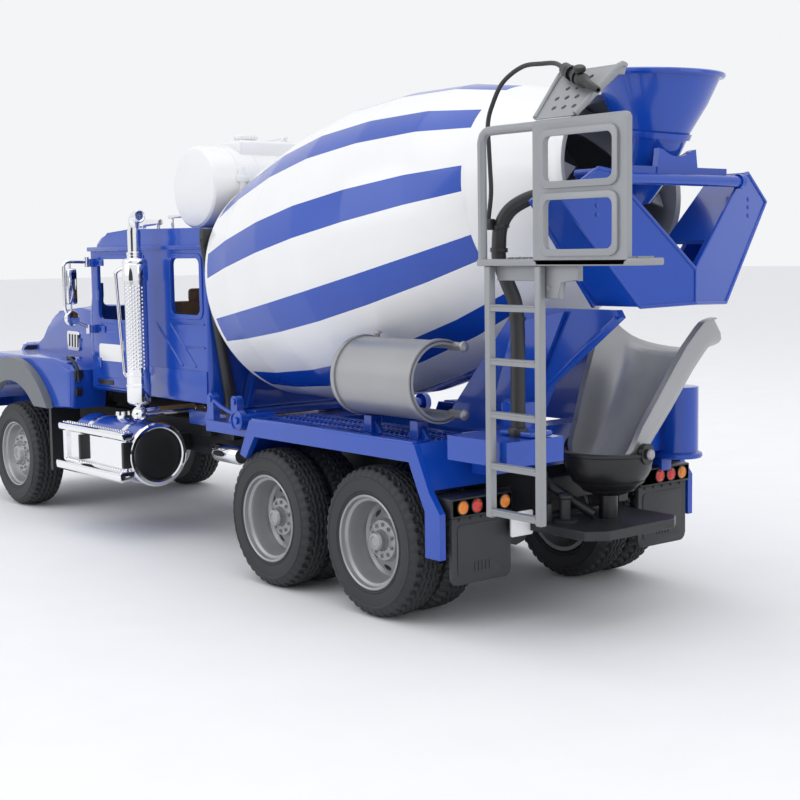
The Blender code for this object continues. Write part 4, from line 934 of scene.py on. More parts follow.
# ---------------------------------------------------------------- tanks, steps, stacks
def flanks():
    for side_name, side in SIDES:
        tank = Form().lathe([(0, 0.6), (13.6, 0.6), (14.2, 0.0), (16.2, 0.0), (17.2, 1.0), (17.3, 2.0),
            (17.3, 73.8), (17.2, 75.0), (16.4, 75.9),
                             (14.8, 76.0), (14.4, 75.0), (13.9, 72.4), (12.0, 71.6), (0, 71.2)],
                             (side * 57.5, -140.0, 48.0), (0, 1, 0), 96)
        tank.done("fuel_tank_shell_" + side_name, "chassis", "blue", BLUE, ("fuel_tank_" + side_name,),
            angle=30)
        bands = Form()
        for y0, y1 in ((-124.5, -120.5), (-84.0, -80.0)):
            bands.lathe([(17.2, y0), (17.75, y0 + 0.2), (17.75, y1 - 0.2), (17.2, y1)],
                (side * 57.5, 0, 48.0), (0, 1, 0), 96)
        bands.lathe([(14.6, -64.9), (17.3, -66.6), (17.9, -66.0), (17.9, -64.4), (17.0, -63.6), (15.4, -63.4),
            (14.7, -63.9)],
                    (side * 57.5, 0, 48.0), (0, 1, 0), 96)
        bands.rod((side * 57.5, -104.0, 64.6), (side * 57.5, -104.0, 67.4), 3.4, 24)
        bands.rod((side * 57.5, -104.0, 67.0), (side * 57.5, -104.0, 69.2), 4.2, 18, 3.9)
        bands.done("fuel_tank_bands_" + side_name, "chassis", "chrome", CHROME, angle=30)
        disc = Form().lathe([(0, -69.0), (13.6, -69.0), (14.6, -66.0), (14.8, -64.2), (14.2, -64.0),
            (13.6, -65.6), (11.0, -66.6), (0, -66.9)],
                            (side * 57.5, 0, 48.0), (0, 1, 0), 80)
        disc.done("fuel_tank_end_" + side_name, "chassis", "black", BLACK, angle=30)
        feet = Form()
        for y in (-126.0, -82.0):
            feet.box(mirrored((28.3, 44.0), side), (y - 4, y + 4), (46.5, 56.0), 0.6)
        feet.done("fuel_tank_feet_" + side_name, "chassis", "chassis_grey", DARK)

        treads = ((80.4, 62.0, 57.2), (82.5, 40.4, 34.6))
        steps = Form()
        for reach, top_z, low_z in treads:
            outline = [(side * x, z) for x, z in (
                (72.8, top_z - 0.4), (73.4, top_z), (reach - 1.6, top_z), (reach - 0.4, top_z - 0.5),
                (reach, top_z - 1.8),
                (reach - 0.4, low_z + 1.0), (reach - 1.6, low_z), (74.2, low_z + 0.8), (73.0, low_z + 2.0))]
            steps.prism(outline, "Y", -141.0, -63.0, 0.7, 3)
            for row in range(2):
                for step in range(26):
                    steps.dome((side * (74.8 + 2.7 * row), -138.5 + 2.92 * step, top_z), (0, 0, 1), 0.62, 0.5,
                        8, 2)
        steps.prism([(side * 73.8, 36.0), (side * 77.2, 36.0), (side * 77.2, 60.0), (side * 73.8, 60.0)], "Y",
            -141.6, -137.4, 0.8, 3)
        steps.prism([(side * 73.8, 36.0), (side * 76.6, 36.0), (side * 76.6, 60.0), (side * 73.8, 60.0)], "Y",
            -68.0, -66.0, 0.5)
        steps.prism([(side * 74.4, 40.2), (side * 76.2, 40.2), (side * 76.2, 57.6), (side * 74.4, 57.6)], "Y",
            -138.0, -66.5, 0.3)
        steps.done("step_treads_" + side_name, "chassis", "chrome", CHROME, ("tank_steps_" + side_name,),
            angle=30)
        brackets = Form()
        for y in (-118.0, -66.6):
            brackets.box(mirrored((72.0, 79.2), side), (y, y + 2.6), (42.0, 56.4), 0.5)
        brackets.done("step_brackets_" + side_name, "chassis", "black", BLACK)

        x, y = side * 64.5, -71.0
        stack = Form().lathe([(0, 75.6), (4.4, 75.8), (6.2, 77.0), (6.7, 78.0), (6.7, 86.0), (7.0, 86.2),
            (7.0, 87.4), (6.6, 87.6), (6.6, 92.0),
                              (7.0, 92.2), (7.0, 93.4), (6.2, 93.6), (6.2, 144.0), (7.0, 144.2), (7.0, 152.6),
                              (6.7, 153.2), (6.9, 153.6),
                              (6.9, 155.0), (6.2, 156.0), (4.2, 156.6), (4.2, 158.0), (4.4, 158.2),
                              (4.4, 159.6), (3.6, 160.0), (3.6, 171.6),
                              (3.1, 171.6), (3.1, 150.0), (0, 150.0)], (x, y, 0), (0, 0, 1), 56)
        stack.tube([(x, y, 170.6), (x, y, 174.0), (x, y + 0.8, 177.4), (x, y + 3.4, 179.2),
            (x, y + 6.6, 179.0)], 3.2, 22, 0.8)
        stack.lathe([(2.4, 0.0), (3.5, 0.0), (3.6, 1.0), (3.0, 1.4), (2.4, 1.2)], (x, y + 5.6, 179.2),
            (0, 1, -0.06), 28)
        stack.lathe([(0, -4.6), (2.6, -3.8), (4.0, -2.2), (4.6, 0), (4.0, 2.2), (2.8, 3.6), (1.8, 4.4),
            (1.8, 6.0), (0, 6.0)], (x, y, 70.6), (0, 0, 1), 28)
        stack.tube([(x, y, 70.6), (side * 55.0, y, 71.4), (side * 42.0, y, 71.5), (side * 30.0, y, 71.5)],
            2.6, 18)
        stack.box(mirrored((24.4, 30.6), side), (-74.6, -67.4), (64.4, 72.6), 0.7)
        stack.done("exhaust_pipe_" + side_name, "chassis", "chrome", CHROME, ("exhaust_stack_" + side_name,),
            angle=40)
        shield = Form()
        outward = math.pi / 2 - side * math.pi * 0.22
        for column_number in range(7):
            turn = outward + (column_number - 3) * 0.26
            facing = Vector((math.cos(turn), math.sin(turn), 0))
            for row in range(22):
                z = 96.2 + 2.1 * row + (1.05 if column_number % 2 else 0.0)
                shield.dome(Vector((x, y, z)) + facing * 6.2, facing, 0.72, 0.62, 8, 2)
        shield.done("exhaust_shield_" + side_name, "chassis", "chrome", CHROME, angle=50)


# ---------------------------------------------------------------- water tank
def water_tank():
    axis_y, axis_z = -44.0, 194.0
    tank = Form().lathe([(0, -43.0), (16.0, -42.9), (20.6, -42.2), (21.8, -41.2), (22.3, -39.4),
        (22.3, -14.0), (22.05, -13.8), (22.05, -13.2),
                         (22.3, -13.0), (22.3, 13.0), (22.05, 13.2), (22.05, 13.8), (22.3, 14.0),
                         (22.3, 39.4), (21.8, 41.2), (20.6, 42.2),
                         (16.0, 42.9), (0, 43.0)], (0, axis_y, axis_z), (1, 0, 0), 112)
    tank.done("water_tank_shell", "chassis", "white", WHITE, ("water_tank",), angle=28)
    top = Form().box((-20.0, 21.0), (-58.0, -30.0), (209.0, 219.0), 1.4, 3)
    top.box((-17.0, 18.0), (-55.0, -33.0), (218.6, 219.6), 0.4)
    top.rod((8.0, -44.0, 218.4), (8.0, -44.0, 220.1), 5.0, 32)
    for y in (-53.0, -36.0):
        top.box((-13.4, -10.6), (y - 1.4, y + 1.4), (219.0, 222.2), 0.4)
    top.rod((-12.0, -56.0, 221.6), (-12.0, -33.0, 221.6), 0.7, 12)
    for _, side in SIDES:
        top.box(mirrored((23.6, 27.4), side), (-22.6, -20.6), (176.0, 204.0), 0.5)
        top.box(mirrored((21.6, 29.0), side), (-23.4, -20.2), (196.0, 200.0), 0.7)
        top.lathe([(22.2, -1.6), (22.75, -1.4), (22.75, 1.4), (22.2, 1.6)], (side * 25.5, axis_y, axis_z),
            (1, 0, 0), 96)
    top.done("water_tank_fittings", "chassis", "white", WHITE, angle=30)
    lid = Form().lathe([(0, 220.3), (6.2, 220.3), (6.4, 220.6), (6.4, 222.2), (6.0, 222.8), (0, 222.8)],
        (8.0, -44.0, 0), (0, 0, 1), 40)
    for step in range(20):
        turn = 2 * math.pi * step / 20
        lid.box((-0.25, 0.25), (6.1, 6.7), (220.6, 222.2))
        grip = list(lid.bm.verts)[-8:]
        bmesh.ops.rotate(lid.bm, cent=(0, 0, 0), matrix=Matrix.Rotation(turn, 3, "Z"), verts=grip)
        bmesh.ops.translate(lid.bm, vec=(8.0, -44.0, 0.0), verts=grip)
    lid.done("tank_lid_cap", "tank_lid", "white", WHITE, ("tank_lid",))
    frame_form = Form().box((-56.0, 56.0), (-17.1, -13.0), (162.0, 171.3), 0.7)
    frame_form.box((-30.0, 30.0), (-60.0, -14.0), (169.8, 171.4), 0.5)
    for _, side in SIDES:
        frame_form.rod((side * 39.0, -14.9, 72.3), (side * 55.2, -14.9, 166.0), 3.6, 24, 1.7)
        frame_form.rod((side * 38.6, -14.9, 72.3), (side * 39.4, -14.9, 76.0), 4.4, 24, 4.0)
    frame_form.done("tank_stand", "chassis", "chassis_grey", DARK, ("tank_frame",))


# ---------------------------------------------------------------- chassis and rear bodywork
def chassis():
    soften("chassis_frame", DARK, 0.5)
    extras = Form()
    for _, side in SIDES:
        for y0, y1 in ((-58.0, -49.0), (-34.0, -25.0), (-6.0, 3.0)):
            extras.box(mirrored((27.6, 33.0), side), (y0, y1), (57.0, 64.2), 0.6)
        for step in range(16):
            extras.bolt((side * 28.0, -180.0 + 24.0 * step, 51.0), (side, 0, 0), 0.9, 0.9)
        for y in REAR_AXLES_Y:
            for leaf in range(4):
                extras.box(mirrored((29.0, 33.0), side), (y - 22 + leaf * 4, y + 22 - leaf * 4),
                    (43.6 - 2.2 * leaf, 45.4 - 2.2 * leaf), 0.3)
    extras.done("chassis_brackets", "chassis", "chassis_grey", DARK)
    air = Form()
    for _, side in SIDES:
        air.lathe([(0, -12), (4.2, -12), (5.0, -10.6), (5.0, 10.6), (4.2, 12), (0, 12)],
            (side * 35.0, -26.0, 50.0), (0, 1, 0), 32)
    air.done("air_tanks", "chassis", "chrome", CHROME)
    soften("subframe", BLUE, 0.6)
    soften("front_pedestal", BLUE, 0.7)
    soften("rear_pedestal", BLUE, 0.8)
    soften("hopper_bridge", BLUE, 0.5)
    braces = Form()
    for _, side in SIDES:
        braces.prism([(side * 30.0, 76.0), (side * 34.0, 76.0), (side * 16.0, 138.0), (side * 13.0, 138.0)],
            "Y", -12.4, -9.8, 0.4)
        for y in (-9.0, 14.0):
            braces.rod((side * 52.2, y, 83.0), (side * 57.8, y, 83.0), 1.7, 18)
            braces.prism([(y - 7.0, 71.6), (y - 3.0, 78.0), (y - 3.0, 71.6)], "X",
                *mirrored((53.4, 56.6), side), 0.3)
        braces.lathe([(0, 0), (5.2, 0), (5.2, 0.9), (4.4, 1.2), (4.2, 0.6), (2.0, 0.6), (1.8, 1.8), (0, 1.8)],
            (side * 61.2, 24, 74.5), (side, 0, 0), 32)
        braces.tube([(side * 56.0, -9.0, 83.0), (side * 56.4, 4.0, 78.5), (side * 57.0, 22.0, 75.5)], 1.1, 12)
    braces.done("pedestal_braces", "chassis", "blue", BLUE)


def fenders():
    for side_name, side in SIDES:
        soften("rear_fender_" + side_name, BLUE, 0.9, 3)
        ribs = Form()
        for step in range(34):
            y = 63.5 + 3.5 * step
            x0, x1 = 42.0, 73.6
            for start in (x0, x0 + 12, x1 - 7.6):
                end = start + (7.6 if start > x0 + 12 else TREAD_RIB)
                ribs.prism([(side * start, y), (side * start, y + 0.9), (side * end, y + 3.1),
                    (side * end, y + 2.2)], "Z", 79.0, 79.9)
        ribs.done("fender_tread_" + side_name, "chassis", "blue", BLUE)
        gussets = Form()
        gussets.box(mirrored((74.6, 78.2), side), (62.0, 183.0), (78.2, 80.2), 0.7, 3)
        posts = (136.0, 168.0) if side > 0 else (92.0, 150.0)
        for y in posts:
            if side < 0:
                gussets.box(mirrored((59.0, 65.0), side), (y - 2.6, y + 2.6), (78.6, 84.0), 0.6)
            for reach in (-1, 1):
                gussets.prism([(y + reach * 2.4, 79.0), (y + reach * 7.4, 79.0), (y + reach * 2.4, 84.6)],
                    "X", *mirrored((61.0, 63.0), side), 0.2)
        gussets.done("fender_gussets_" + side_name, "chassis", "blue", BLUE)

        body_x = mirrored((39.8, 73.8), side)
        bar = Form().box(body_x, (188.1, 202.0), (49.6, 58.0), 0.7, 2)
        bar.box(mirrored((40.4, 73.2), side), (201.4, 202.0), (50.4, 57.4), 0.25)
        bar.done("light_bar_" + side_name, "chassis", "black", BLACK, ("mud_flap_" + side_name,), angle=30)
        low, high = mirrored((39.8, 72.6), side)
        outline = [(high, 51.0), (low, 51.0)] + arc((low + 3.4, 25.0), 3.4, 180, 270,
            6) + arc((high - 3.4, 25.0), 3.4, 270, 360, 6)
        flap = Form().prism(outline, "Y", 198.8, 200.6, 0.35)
        flap.prism(rounded_rectangle((low + 3, high - 3), (25.0, 46.5), 2.0), "Y", 200.4, 200.95, 0.2)
        for step in range(5):
            x = (low + high) / 2 - 4.0 + 2.0 * step
            flap.box((x - 0.35, x + 0.35), (200.6, 201.3), (26.4, 30.4), 0.15)
        for step in range(5):
            flap.bolt((low + 4.4 + 6.0 * step, 200.5, 48.8), (0, 1, 0), 0.55, 0.7)
        flap.done("flap_sheet_" + side_name, "chassis", "black", FLAP)
        for number, (x, lens) in enumerate(((67.8, AMBER), (60.2, RED),
            (44.6, AMBER) if side > 0 else (52.6, RED))):
            lamp = Form().lathe([(0, -0.4), (2.75, -0.4), (2.7, 0.5), (2.2, 1.0), (1.2, 1.25), (0, 1.3)],
                (side * x, 202.0, 54.0), (0, 1, 0), 28)
            for ring in (0.8, 1.6):
                lamp.lathe([(ring - 0.12, 0.9), (ring + 0.12, 0.9), (ring + 0.12, 1.35), (ring - 0.12, 1.35)],
                    (side * x, 202.0, 54.0), (0, 1, 0), 24)
            lamp.done("lamp_%s_%d" % (side_name, number + 1), "chassis", "black", lens, angle=40)
            bezel = Form().lathe([(2.75, -0.2), (3.25, -0.2), (3.15, 0.55), (2.75, 0.6)],
                (side * x, 202.0, 54.0), (0, 1, 0), 28)
            bezel.done("lamp_bezel_%s_%d" % (side_name, number + 1), "chassis", "black", BLACK)
    soften("tow_plate", DARK, 0.8)
    hitch = Form()
    hitch.rod((-6.0, 214.0, 43.6), (-6.0, 214.0, 56.0), 2.6, 24)
    hitch.lathe([(0, 0), (2.6, 0), (3.2, 0.6), (3.2, 1.6), (2.4, 2.4), (0, 2.6)], (21.0, 214.0, 53.6),
        (0, 0, 1), 24)
    hitch.lathe([(0, 0), (5.6, 0), (5.6, 1.0), (5.0, 1.4), (0, 1.4)], (21.0, 214.0, 43.8), (0, 0, 1), 32)
    hitch.box((26.0, 29.0), (206.0, 212.0), (43.6, 52.0), 0.6)
    hitch.done("hitch_posts", "chassis", "chassis_grey", DARK)
    plate = Form().prism(rounded_rectangle((30.4, 43.0), (38.6, 49.0), 0.8), "Y", 203.6, 204.4, 0.2)
    plate.done("blank_number_plate", "chassis", "white", WHITE)


# ---------------------------------------------------------------- hopper and collector
def ring_points(centre, radius, tilt, count):
    points = []
    for step in range(count):
        angle = 2 * math.pi * step / count
        flat = Vector((radius * math.cos(angle), radius * math.sin(angle), 0.0))
        points.append(Vector(centre) + Matrix.Rotation(tilt, 3, "X") @ flat)
    return points


def hopper():
    stations = [((0, 245.5, 226.0), 26.2, 0.06), ((0, 244.6, 216.0), 20.6, 0.1),
        ((0, 243.5, 205.4), 14.9, 0.15), ((0, 242.6, 200.4), 13.0, 0.26),
                ((0, 240.5, 196.0), 12.2, 0.4), ((0, 236.6, 189.8), 11.5, 0.62),
                ((0, 232.0, 184.0), 11.0, 0.85)]
    outer = [ring_points(centre, radius, -tilt, 72) for centre, radius, tilt in stations]
    inner = [ring_points(centre, radius - 1.5, -tilt, 72) for centre, radius, tilt in stations]
    lip = [ring_points((0, 245.5, z), radius, -0.06, 72) for radius, z in (
        (24.7, 225.6), (26.2, 225.6), (26.9, 226.4), (26.8, 227.4), (26.0, 227.9), (24.9, 227.6))]
    form = Form().loft(lip + inner + outer[::-1][:-1], closed=True)
    form.done("hopper_funnel", "chassis", "blue", BLUE, ("hopper",), angle=35)
    neck = Form().loft([ring_points((0, 243.4, 204.6), 15.6, -0.15, 64),
        ring_points((0, 243.4, 204.6), 14.2, -0.15, 64),
                        ring_points((0, 243.1, 202.6), 13.2, -0.18, 64),
                        ring_points((0, 243.1, 202.6), 15.0, -0.18, 64)], closed=True)
    neck.done("hopper_neck", "chassis", "blue", BLUE)


def collector():
    soften("collector", BLUE, 0.5, 2)
    extras = Form()
    outline = [(0.0, 149.4), (40.0, 187.6), (45.0, 188.4), (62.0, 176.8), (26.0, 135.2), (0.0, 136.0)]

    def on_face(x, z, side, lift=0.0):
        return (side * x, COLLECTOR_REAR_Y - COLLECTOR_SWEEP * x + lift, z)

    for side in (-1, 1):
        for z in (177.5, 174.3, 170.8):
            extras.dome(on_face(45.6, z, side, -0.1), (side * 0.21, 1, 0), 1.05, 0.7, 14)
        for start, end in zip(outline, outline[1:]):
            extras.rod(on_face(*start, side), on_face(*end, side), 0.75, 10)
        wing = [(side * 60.6, 177.8), (side * 62.2, 176.4), (side * 27.4, 134.4), (side * 25.8, 135.6)]
        extras.prism(wing, "Y", 235.2, 237.0, 0.3)
        extras.rod((side * 42.4, 255.6, 187.4), (side * 42.4, 241.5, 187.4), 1.1, 14)
        extras.rod((side * 33.0, 260.0, 184.5), (side * 35.4, 260.0, 184.5), 3.0, 24)
    extras.rod((0.0, 265.7, 149.4), (0.0, 265.7, 136.2), 0.5, 8)
    extras.done("collector_edges", "chassis", "blue", BLUE)
    left = Form()
    left.prism([(178.0, 79.8), (196.0, 128.0), (226.0, 133.0), (212.0, 108.0), (206.0, 86.0)], "X", 31.4,
        33.0, 0.4)
    left.tube([(32.0, 216.0, 103.0), (32.0, 235.0, 118.0), (32.0, 253.0, 131.0)], 1.0, 10)
    left.tube([(-32.0, 187.6, 84.0), (-32.0, 187.2, 104.0), (-32.0, 186.2, 123.0)], 1.0, 10)
    for x, y0, y1, z0, z1 in ((36.0, 204.0, 214.0, 84.0, 96.0), (46.0, 214.0, 232.0, 84.2, 86.4),
        (44.0, 206.0, 216.0, 76.0, 83.0)):
        left.box((x, x + 12.0), (y0, y1), (z0, z1), 0.6)
    left.done("pedestal_details", "chassis", "blue", BLUE)
    caps = Form()
    caps.lathe([(0, 94.6), (8.2, 94.6), (8.6, 94.2), (9.3, 94.2), (9.5, 94.6), (9.2, 95.0), (7.6, 95.2),
        (0, 95.2)], (*CORNER_POST, 0), (0, 0, 1), 56)
    caps.lathe([(9.4, 63.0), (11.2, 62.6), (11.6, 63.4), (11.4, 64.6), (9.6, 65.4)], (*CORNER_POST, 0),
        (0, 0, 1), 56)
    caps.box((-60.0, -53.0), (196.0, 203.0), (56.0, 63.0), 0.7)
    caps.done("corner_caps", "chassis", "blue", BLUE)


# ---------------------------------------------------------------- ladder, platform, hoses
def ladder():
    form = Form()
    for y0, y1 in ((227.4, 230.6), (254.6, 257.8)):
        form.box((75.0, 78.2), (y0, y1), (55.0, 152.0), 0.55, 3)
    for z in (57.0, 75.0, 95.0, 115.5, 136.0):
        form.box((75.2, 78.0), (230.0, 255.4), (z - 1.2, z + 1.2), 0.4, 2)
        form.box((74.8, 78.4), (230.4, 254.8), (z + 0.7, z + 1.4), 0.2, 1)
    form.done("ladder_frame", "chassis", "ladder_grey", GREY, ("ladder",))
    panel = Form().prism(rounded_rectangle((255.0, 301.0), (152.2, 204.4), 1.6), "X", 76.4, 79.0, 0.8, 3)
    panel.boolean(Form().prism(rounded_rectangle((260.6, 295.6), (157.2, 176.4), 3.0), "X", 70, 85)
                  .prism(rounded_rectangle((260.6, 295.6), (181.4, 199.0), 3.0), "X", 70, 85))
    panel.done("railing_panel", "chassis", "ladder_grey", GREY, bevel=0.5, segments=3)
    raised = Form()
    for v0, v1 in ((155.6, 178.0), (179.8, 200.6)):
        ring = Form().prism(rounded_rectangle((259.0, 297.2), (v0, v1), 3.6), "X", 78.6, 80.0, 0.4)
        ring.boolean(Form().prism(rounded_rectangle((261.4, 294.8), (v0 + 2.4, v1 - 2.4), 2.6), "X", 70, 85))
        ring.done("railing_bead_%d" % round(v0), "chassis", "ladder_grey", GREY, bevel=0.3)
    raised.tube([(77.3, 226.0, 152.6), (77.3, 226.0, 190.0), (77.3, 226.1, 199.0), (77.3, 228.0, 202.0),
        (77.3, 232.0, 202.6),
                 (77.3, 246.0, 202.6), (77.3, 256.6, 202.6)], 1.75, 12, 1.5)
    raised.done("railing_hoop", "chassis", "ladder_grey", GREY)
    deck = Form().box((62.0, 79.0), (224.2, 303.0), (152.0, 154.6), 0.5)
    deck.box((46.0, 62.4), (224.2, 230.5), (152.0, 154.6), 0.5)
    deck.box((72.4, 74.6), (230.8, 254.6), (146.4, 152.4), 0.5)
    deck.prism([(254.5, 153.0), (254.5, 140.0), (264.0, 140.0), (264.6, 146.5), (273.8, 146.5),
        (273.8, 153.0)], "X", 72.0, 74.8, 0.5)
    for step in range(18):
        y = 234.0 + 3.8 * step
        deck.prism([(63.4, y), (63.4, y + 0.8), (74.0, y + 2.8), (74.0, y + 2.0)], "Z", 154.4, 155.2)
    deck.bolt((74.7, 259.2, 144.0), (1, 0, 0), 0.8, 0.8)
    deck.done("platform_deck", "chassis", "ladder_grey", GREY, ("platform",))
    profile = [(79.0, 204.8), (76.6, 204.8), (60.6, 219.8), (57.4, 219.8), (57.2, 221.0), (57.4, 222.8),
        (61.2, 222.8)]
    shelf = Form().prism(profile, "Y", 254.5, 279.0, 0.4)
    for vert in shelf.bm.verts:
        share = (vert.co.z - 204.8) / 18.0
        vert.co.y = 256.0 - 3.5 * share if vert.co.y < 266.0 else 275.5 + 5.5 * share
    slope = Vector((79.0 - 61.0, 0, 204.8 - 222.8)).normalized()
    facing = Vector((-slope.z, 0, slope.x)).normalized()
    for row in range(4):
        for column_number in range(3):
            spot = Vector((61.6, 260.5 + 5.0 * column_number + (2.0 if row % 2 else 0),
                221.6)) + slope * (3.4 + 5.2 * row)
            shelf.boolean(Form().rod(spot - facing * 6, spot + facing * 6, 1.1, 12))
    shelf.done("spray_shelf_plate", "chassis", "ladder_grey", GREY, ("spray_shelf",))
    edge = Form()
    edge.tube([(78.2, 275.6, 205.4), (70.0, 278.2, 213.8), (61.6, 280.9, 222.4), (58.6, 281.0, 223.2),
        (56.8, 279.4, 223.0), (56.6, 274.0, 223.0),
               (56.6, 260.0, 223.0), (56.8, 254.2, 223.0), (58.6, 252.4, 223.2), (61.6, 252.5, 222.4),
               (70.0, 254.2, 213.8), (78.2, 255.9, 205.4)], 1.0, 14)
    edge.done("spray_shelf_edge", "chassis", "ladder_grey", GREY)


def spraying():
    butt, aim = Vector((64.9, 257.5, 223.8)), Vector((9.7, 26.0, -10.8)).normalized()
    barrel = [(0, 0), (1.9, 0), (2.4, 0.8), (2.4, 4.5), (1.9, 5.2), (1.9, 13.6), (2.5, 14.4), (2.5, 17.6),
        (1.9, 18.8), (1.5, 20.6), (1.5, 22.2),
              (1.1, 29.4), (0.9, 29.8), (0.6, 29.8), (0.6, 27.0), (0, 27.0)]
    gun = Form().lathe(barrel, butt, aim, 28)
    for reach in (6.4, 12.0):
        gun.lathe([(1.7, -0.9), (2.7, -0.9), (2.7, 0.9), (1.7, 0.9)], butt + aim * reach, aim, 28)
    lift = Vector((1.6, 1.5, 4.2)).normalized()
    gun.lathe([(0, 0), (1.5, 0), (1.5, 2.6), (2.3, 3.0), (2.3, 4.2), (1.8, 4.7), (0, 4.7)],
        (69.4, 269.5, 218.6), lift, 24)
    gun.done("spray_gun_body", "chassis", "black", BLACK, ("spray_gun",))
    fill = [(50, 240, 179), (56, 232, 178.2), (60.5, 224.5, 174), (62.8, 220.8, 167.5), (63, 219.7, 160),
        (62.6, 219.6, 153.5),
            (60, 221.3, 145), (57, 222.4, 137), (56, 222.6, 127), (56, 222.6, 108), (56, 222.5, 84.4)]
    thick = Form().tube(fill, 2.9, 28, 1.2)
    thick.lathe([(0, -1.0), (3.6, -1.0), (3.9, 0), (3.9, 2.2), (3.2, 3.0), (0, 3.0)], (56, 222.5, 84.9),
        (0, 0, 1), 28)
    for centre, direction in (((62.9, 220.6, 166.8), (0.1, -0.3, 1)), ((63, 219.7, 158.0), (-0.05, 0, 1)),
        ((56.2, 222.5, 131.0), (-0.05, 0, 1)), ((51.4, 238.2, 178.8), (0.6, -0.8, 0))):
        thick.lathe([(2.7, -0.8), (3.5, -0.8), (3.5, 0.8), (2.7, 0.8)], centre, direction, 28)
    thick.done("fill_hose_tube", "chassis", "hose", HOSE, ("fill_hose",), angle=50)
    spray = [(64.6, 256.6, 224.1), (62, 250, 226.6), (61, 242.5, 227.4), (61, 231.4, 227.4),
        (62, 221.5, 222.4), (63, 216.4, 214),
             (64, 215, 207.2), (65, 216.4, 199.8), (65.3, 217.4, 190), (65.8, 218.4, 180), (66.6, 217.5, 169)]
    Form().tube(spray, 0.9, 14, 1.2).done("spray_hose_tube", "chassis", "hose", HOSE, ("spray_hose",),
        angle=50)
    clips = Form().box((65.0, 68.4), (216.0, 220.4), (165.8, 170.2), 0.7)
    clips.done("hose_clips", "chassis", "black", BLACK)


# ---------------------------------------------------------------- discharge chute
OUTWARD = Vector((-math.sin(CHUTE_TURN), math.cos(CHUTE_TURN), 0.0))
ALONG_PIN = Vector((math.cos(CHUTE_TURN), math.sin(CHUTE_TURN), 0.0))
UP_CHUTE = OUTWARD * math.cos(CHUTE_SLOPE) + Vector((0, 0, 1)) * math.sin(CHUTE_SLOPE)
OPEN_SIDE = Vector((0, 0, 1)) * math.cos(CHUTE_SLOPE) - OUTWARD * math.sin(CHUTE_SLOPE)


def trough_section(along, half_width, depth, shift=Vector((0, 0, 0))):
    """A U-shaped ring across the chute: outer side, then inner side back again."""
    wall = 1.5
    shape = [(-1.06, 0.35), (-1.0, 0.35), (-0.965, 0.12), (-0.93, -0.1), (-0.86, -0.3), (-0.76, -0.43),
        (-0.62, -0.53),
             (-0.45, -0.61), (-0.23, -0.67), (0.0, -0.7)]
    outer = shape + [(-x, y) for x, y in shape[-2::-1]]
    points = [(x * half_width, y * depth) for x, y in outer]
    back = []
    for x, y in outer[::-1]:
        inset = wall / half_width
        if abs(x) > 1.0:
            back.append((x * half_width, y * depth + 1.0))
        else:
            lean = max(0.0, 1.0 - abs(x)) ** 0.35 if abs(x) < 1 else 0.0
            back.append((math.copysign(abs(x) * (1 - inset), x) * half_width,
                y * depth + wall * max(lean, 0.0) + (1.0 if y > 0.3 else 0.0)))
    middle = CHUTE_PIVOT + UP_CHUTE * along + shift
    return [middle + ALONG_PIN * x + OPEN_SIDE * y for x, y in points + back]


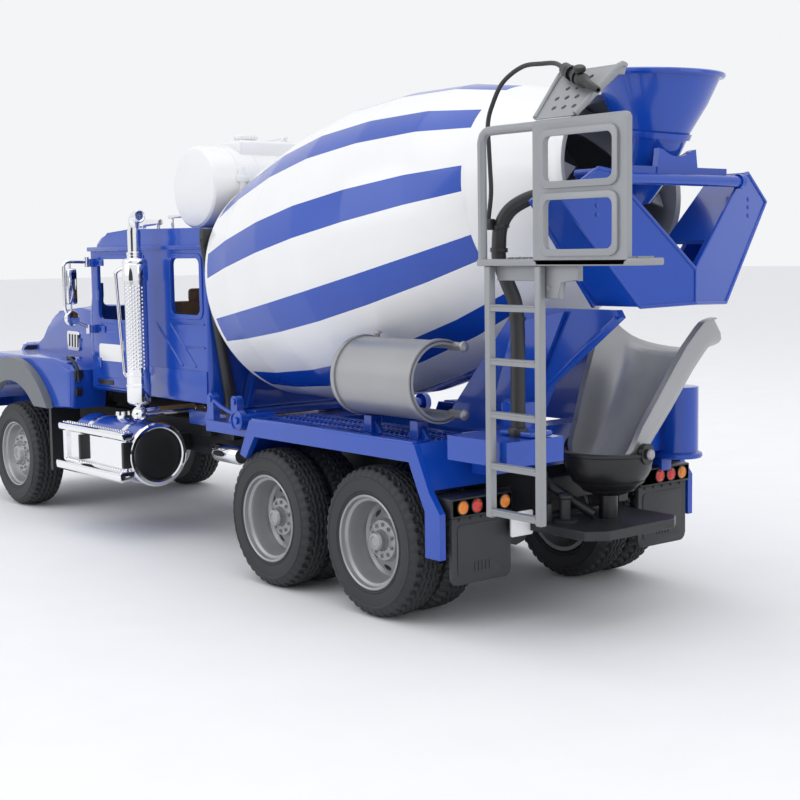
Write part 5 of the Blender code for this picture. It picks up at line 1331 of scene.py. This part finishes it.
def chute():
    stations = [(-9.0, 12.5, 11.0), (-5.5, 14.4, 13.0), (-2.0, 16.0, 15.0), (3.0, 16.6, 17.0),
        (8.0, 17.0, 18.6), (16.0, 18.4, 20.0),
                (27.0, 20.2, 21.8), (38.0, 21.8, 23.0), (48.0, 23.4, 23.6), (57.0, 26.0, 24.0),
                (60.0, 27.2, 24.0)]
    rings = [trough_section(*station) for station in stations]
    for drop in (1.6, 3.6, 6.0):
        rings.append(trough_section(60.6 + drop * 0.4, 27.8, 24.0,
            OUTWARD * drop + Vector((0, 0, -0.02 * drop * drop))))
    form = Form().loft(rings)
    for end in (-1, 1):
        start = CHUTE_PIVOT + ALONG_PIN * end * 14.9
        form.rod(start, CHUTE_PIVOT + ALONG_PIN * end * 21.6, 1.5, 24)
        form.dome(CHUTE_PIVOT + ALONG_PIN * end * 21.4, ALONG_PIN * end, 2.3, 1.4, 20)
        form.rod(CHUTE_PIVOT + ALONG_PIN * end * 14.6, CHUTE_PIVOT + ALONG_PIN * end * 16.6, 3.6, 28)
    form.done("chute_trough", "chute", "silver", SILVER, ("chute",), angle=38)

    bowl = Form().lathe([(0, 53.4)] + arc((0.0, 73.0), 19.6, -72, -4, 14) + [(20.1, 72.0), (20.2, 73.2),
        (19.4, 73.6), (17.9, 73.5)]
                        + arc((0.0, 73.0), 17.4, -4, -76, 12) + [(0.0, 55.6)],
                        (CHUTE_PIVOT.x, CHUTE_PIVOT.y, 0.0), (0, 0, 1), 72)
    for end in (-1, 1):
        bowl.boolean(Form().rod(CHUTE_PIVOT + ALONG_PIN * end * 17.6, CHUTE_PIVOT + ALONG_PIN * end * 20.2,
            4.4, 28), "UNION")
    cuts = Form()
    for end in (-1, 1):
        cuts.rod(CHUTE_PIVOT + ALONG_PIN * end * 15.0, CHUTE_PIVOT + ALONG_PIN * end * 24.0, 1.9, 24)
    bowl.boolean(cuts)
    notch = []
    for reach, aside in ((6.0, -23.0), (26.0, -23.0), (26.0, 23.0), (6.0, 23.0)):
        notch.append((CHUTE_PIVOT + OUTWARD * reach + ALONG_PIN * aside).xy)
    bowl.boolean(Form().prism(notch, "Z", 66.0, 84.0))
    bowl.lathe([(0, 44.3), (4.0, 44.3), (4.0, 54.4), (5.6, 55.0), (0, 55.0)],
        (CHUTE_PIVOT.x, CHUTE_PIVOT.y, 0), (0, 0, 1), 36)
    for radius in (15.0, 11.0):
        depth = 73.0 - math.sqrt(19.6 ** 2 - radius ** 2)
        bowl.lathe([(radius - 0.7, depth), (radius, depth - 0.55), (radius + 0.7, depth + 0.4),
            (radius, depth + 0.8)],
                   (CHUTE_PIVOT.x, CHUTE_PIVOT.y, 0), (0, 0, 1), 72)
    bowl.done("chute_bowl_shell", "chute_bowl", "black", BLACK, ("chute_bowl",), angle=35)
    arm = Form()
    arm.prism([(-18.0, 199.0), (-4.0, 199.0), (6.0, 214.0), (10.0, 221.0), (2.0, 229.0), (-6.0, 221.0)], "Z",
        44.02, 44.2)
    arm.tube([(20.0, 196.0, 62.0), (19.0, 203.0, 58.0), (14.0, 211.0, 52.0), (8.0, 218.0, 46.0)], 2.2, 18)
    arm.done("bowl_arm", "chassis", "chassis_grey", DARK)


def extension():
    centre = (62.0, 104.0)
    outer = [(2 * centre[0] - x, z) for x, z in arc(centre, 17.0, 62, 298, 40)]
    inner = [(2 * centre[0] - x, z) for x, z in arc(centre, 15.4, 298, 62, 40)]
    form = Form().prism(outer + inner, "Y", 129.0, 183.0, 0.35)
    for y0, y1 in ((129.0, 131.4), (180.6, 183.0)):
        rim_out = [(2 * centre[0] - x, z) for x, z in arc(centre, 17.8, 62, 298, 40)]
        rim_in = [(2 * centre[0] - x, z) for x, z in arc(centre, 16.6, 298, 62, 40)]
        form.prism(rim_out + rim_in, "Y", y0, y1, 0.3)
    for turn in (62, 298):
        edge = arc(centre, 16.2, turn, turn, 1)[0]
        x, z = 2 * centre[0] - edge[0], edge[1]
        form.rod((x, 129.4, z), (x, 182.6, z), 1.15, 14)
        form.rod((x, 180.0, z), (x, 189.0, z), 2.0, 18, 1.7)
        form.dome((x, 188.6, z), (0, 1, 0), 2.4, 1.4, 18)
    top = arc(centre, 17.0, 62, 62, 1)[0]
    x, z = 2 * centre[0] - top[0] + 3.0, top[1] - 0.6
    form.rod((x, 134.0, z), (x, 134.0, z + 4.2), 1.2, 14)
    form.dome((x, 134.0, z + 4.0), (0, 0, 1), 2.0, 1.2, 16)
    form.done("extension_chute_shell", "extension_chute", "silver", SILVER, ("extension_chute",), angle=35)


camera()
studio()
drum()
wheels()
cab()
interior()
doors()
hood()
front_end()
flanks()
water_tank()
chassis()
fenders()
hopper()
collector()
ladder()
spraying()
chute()
extension()
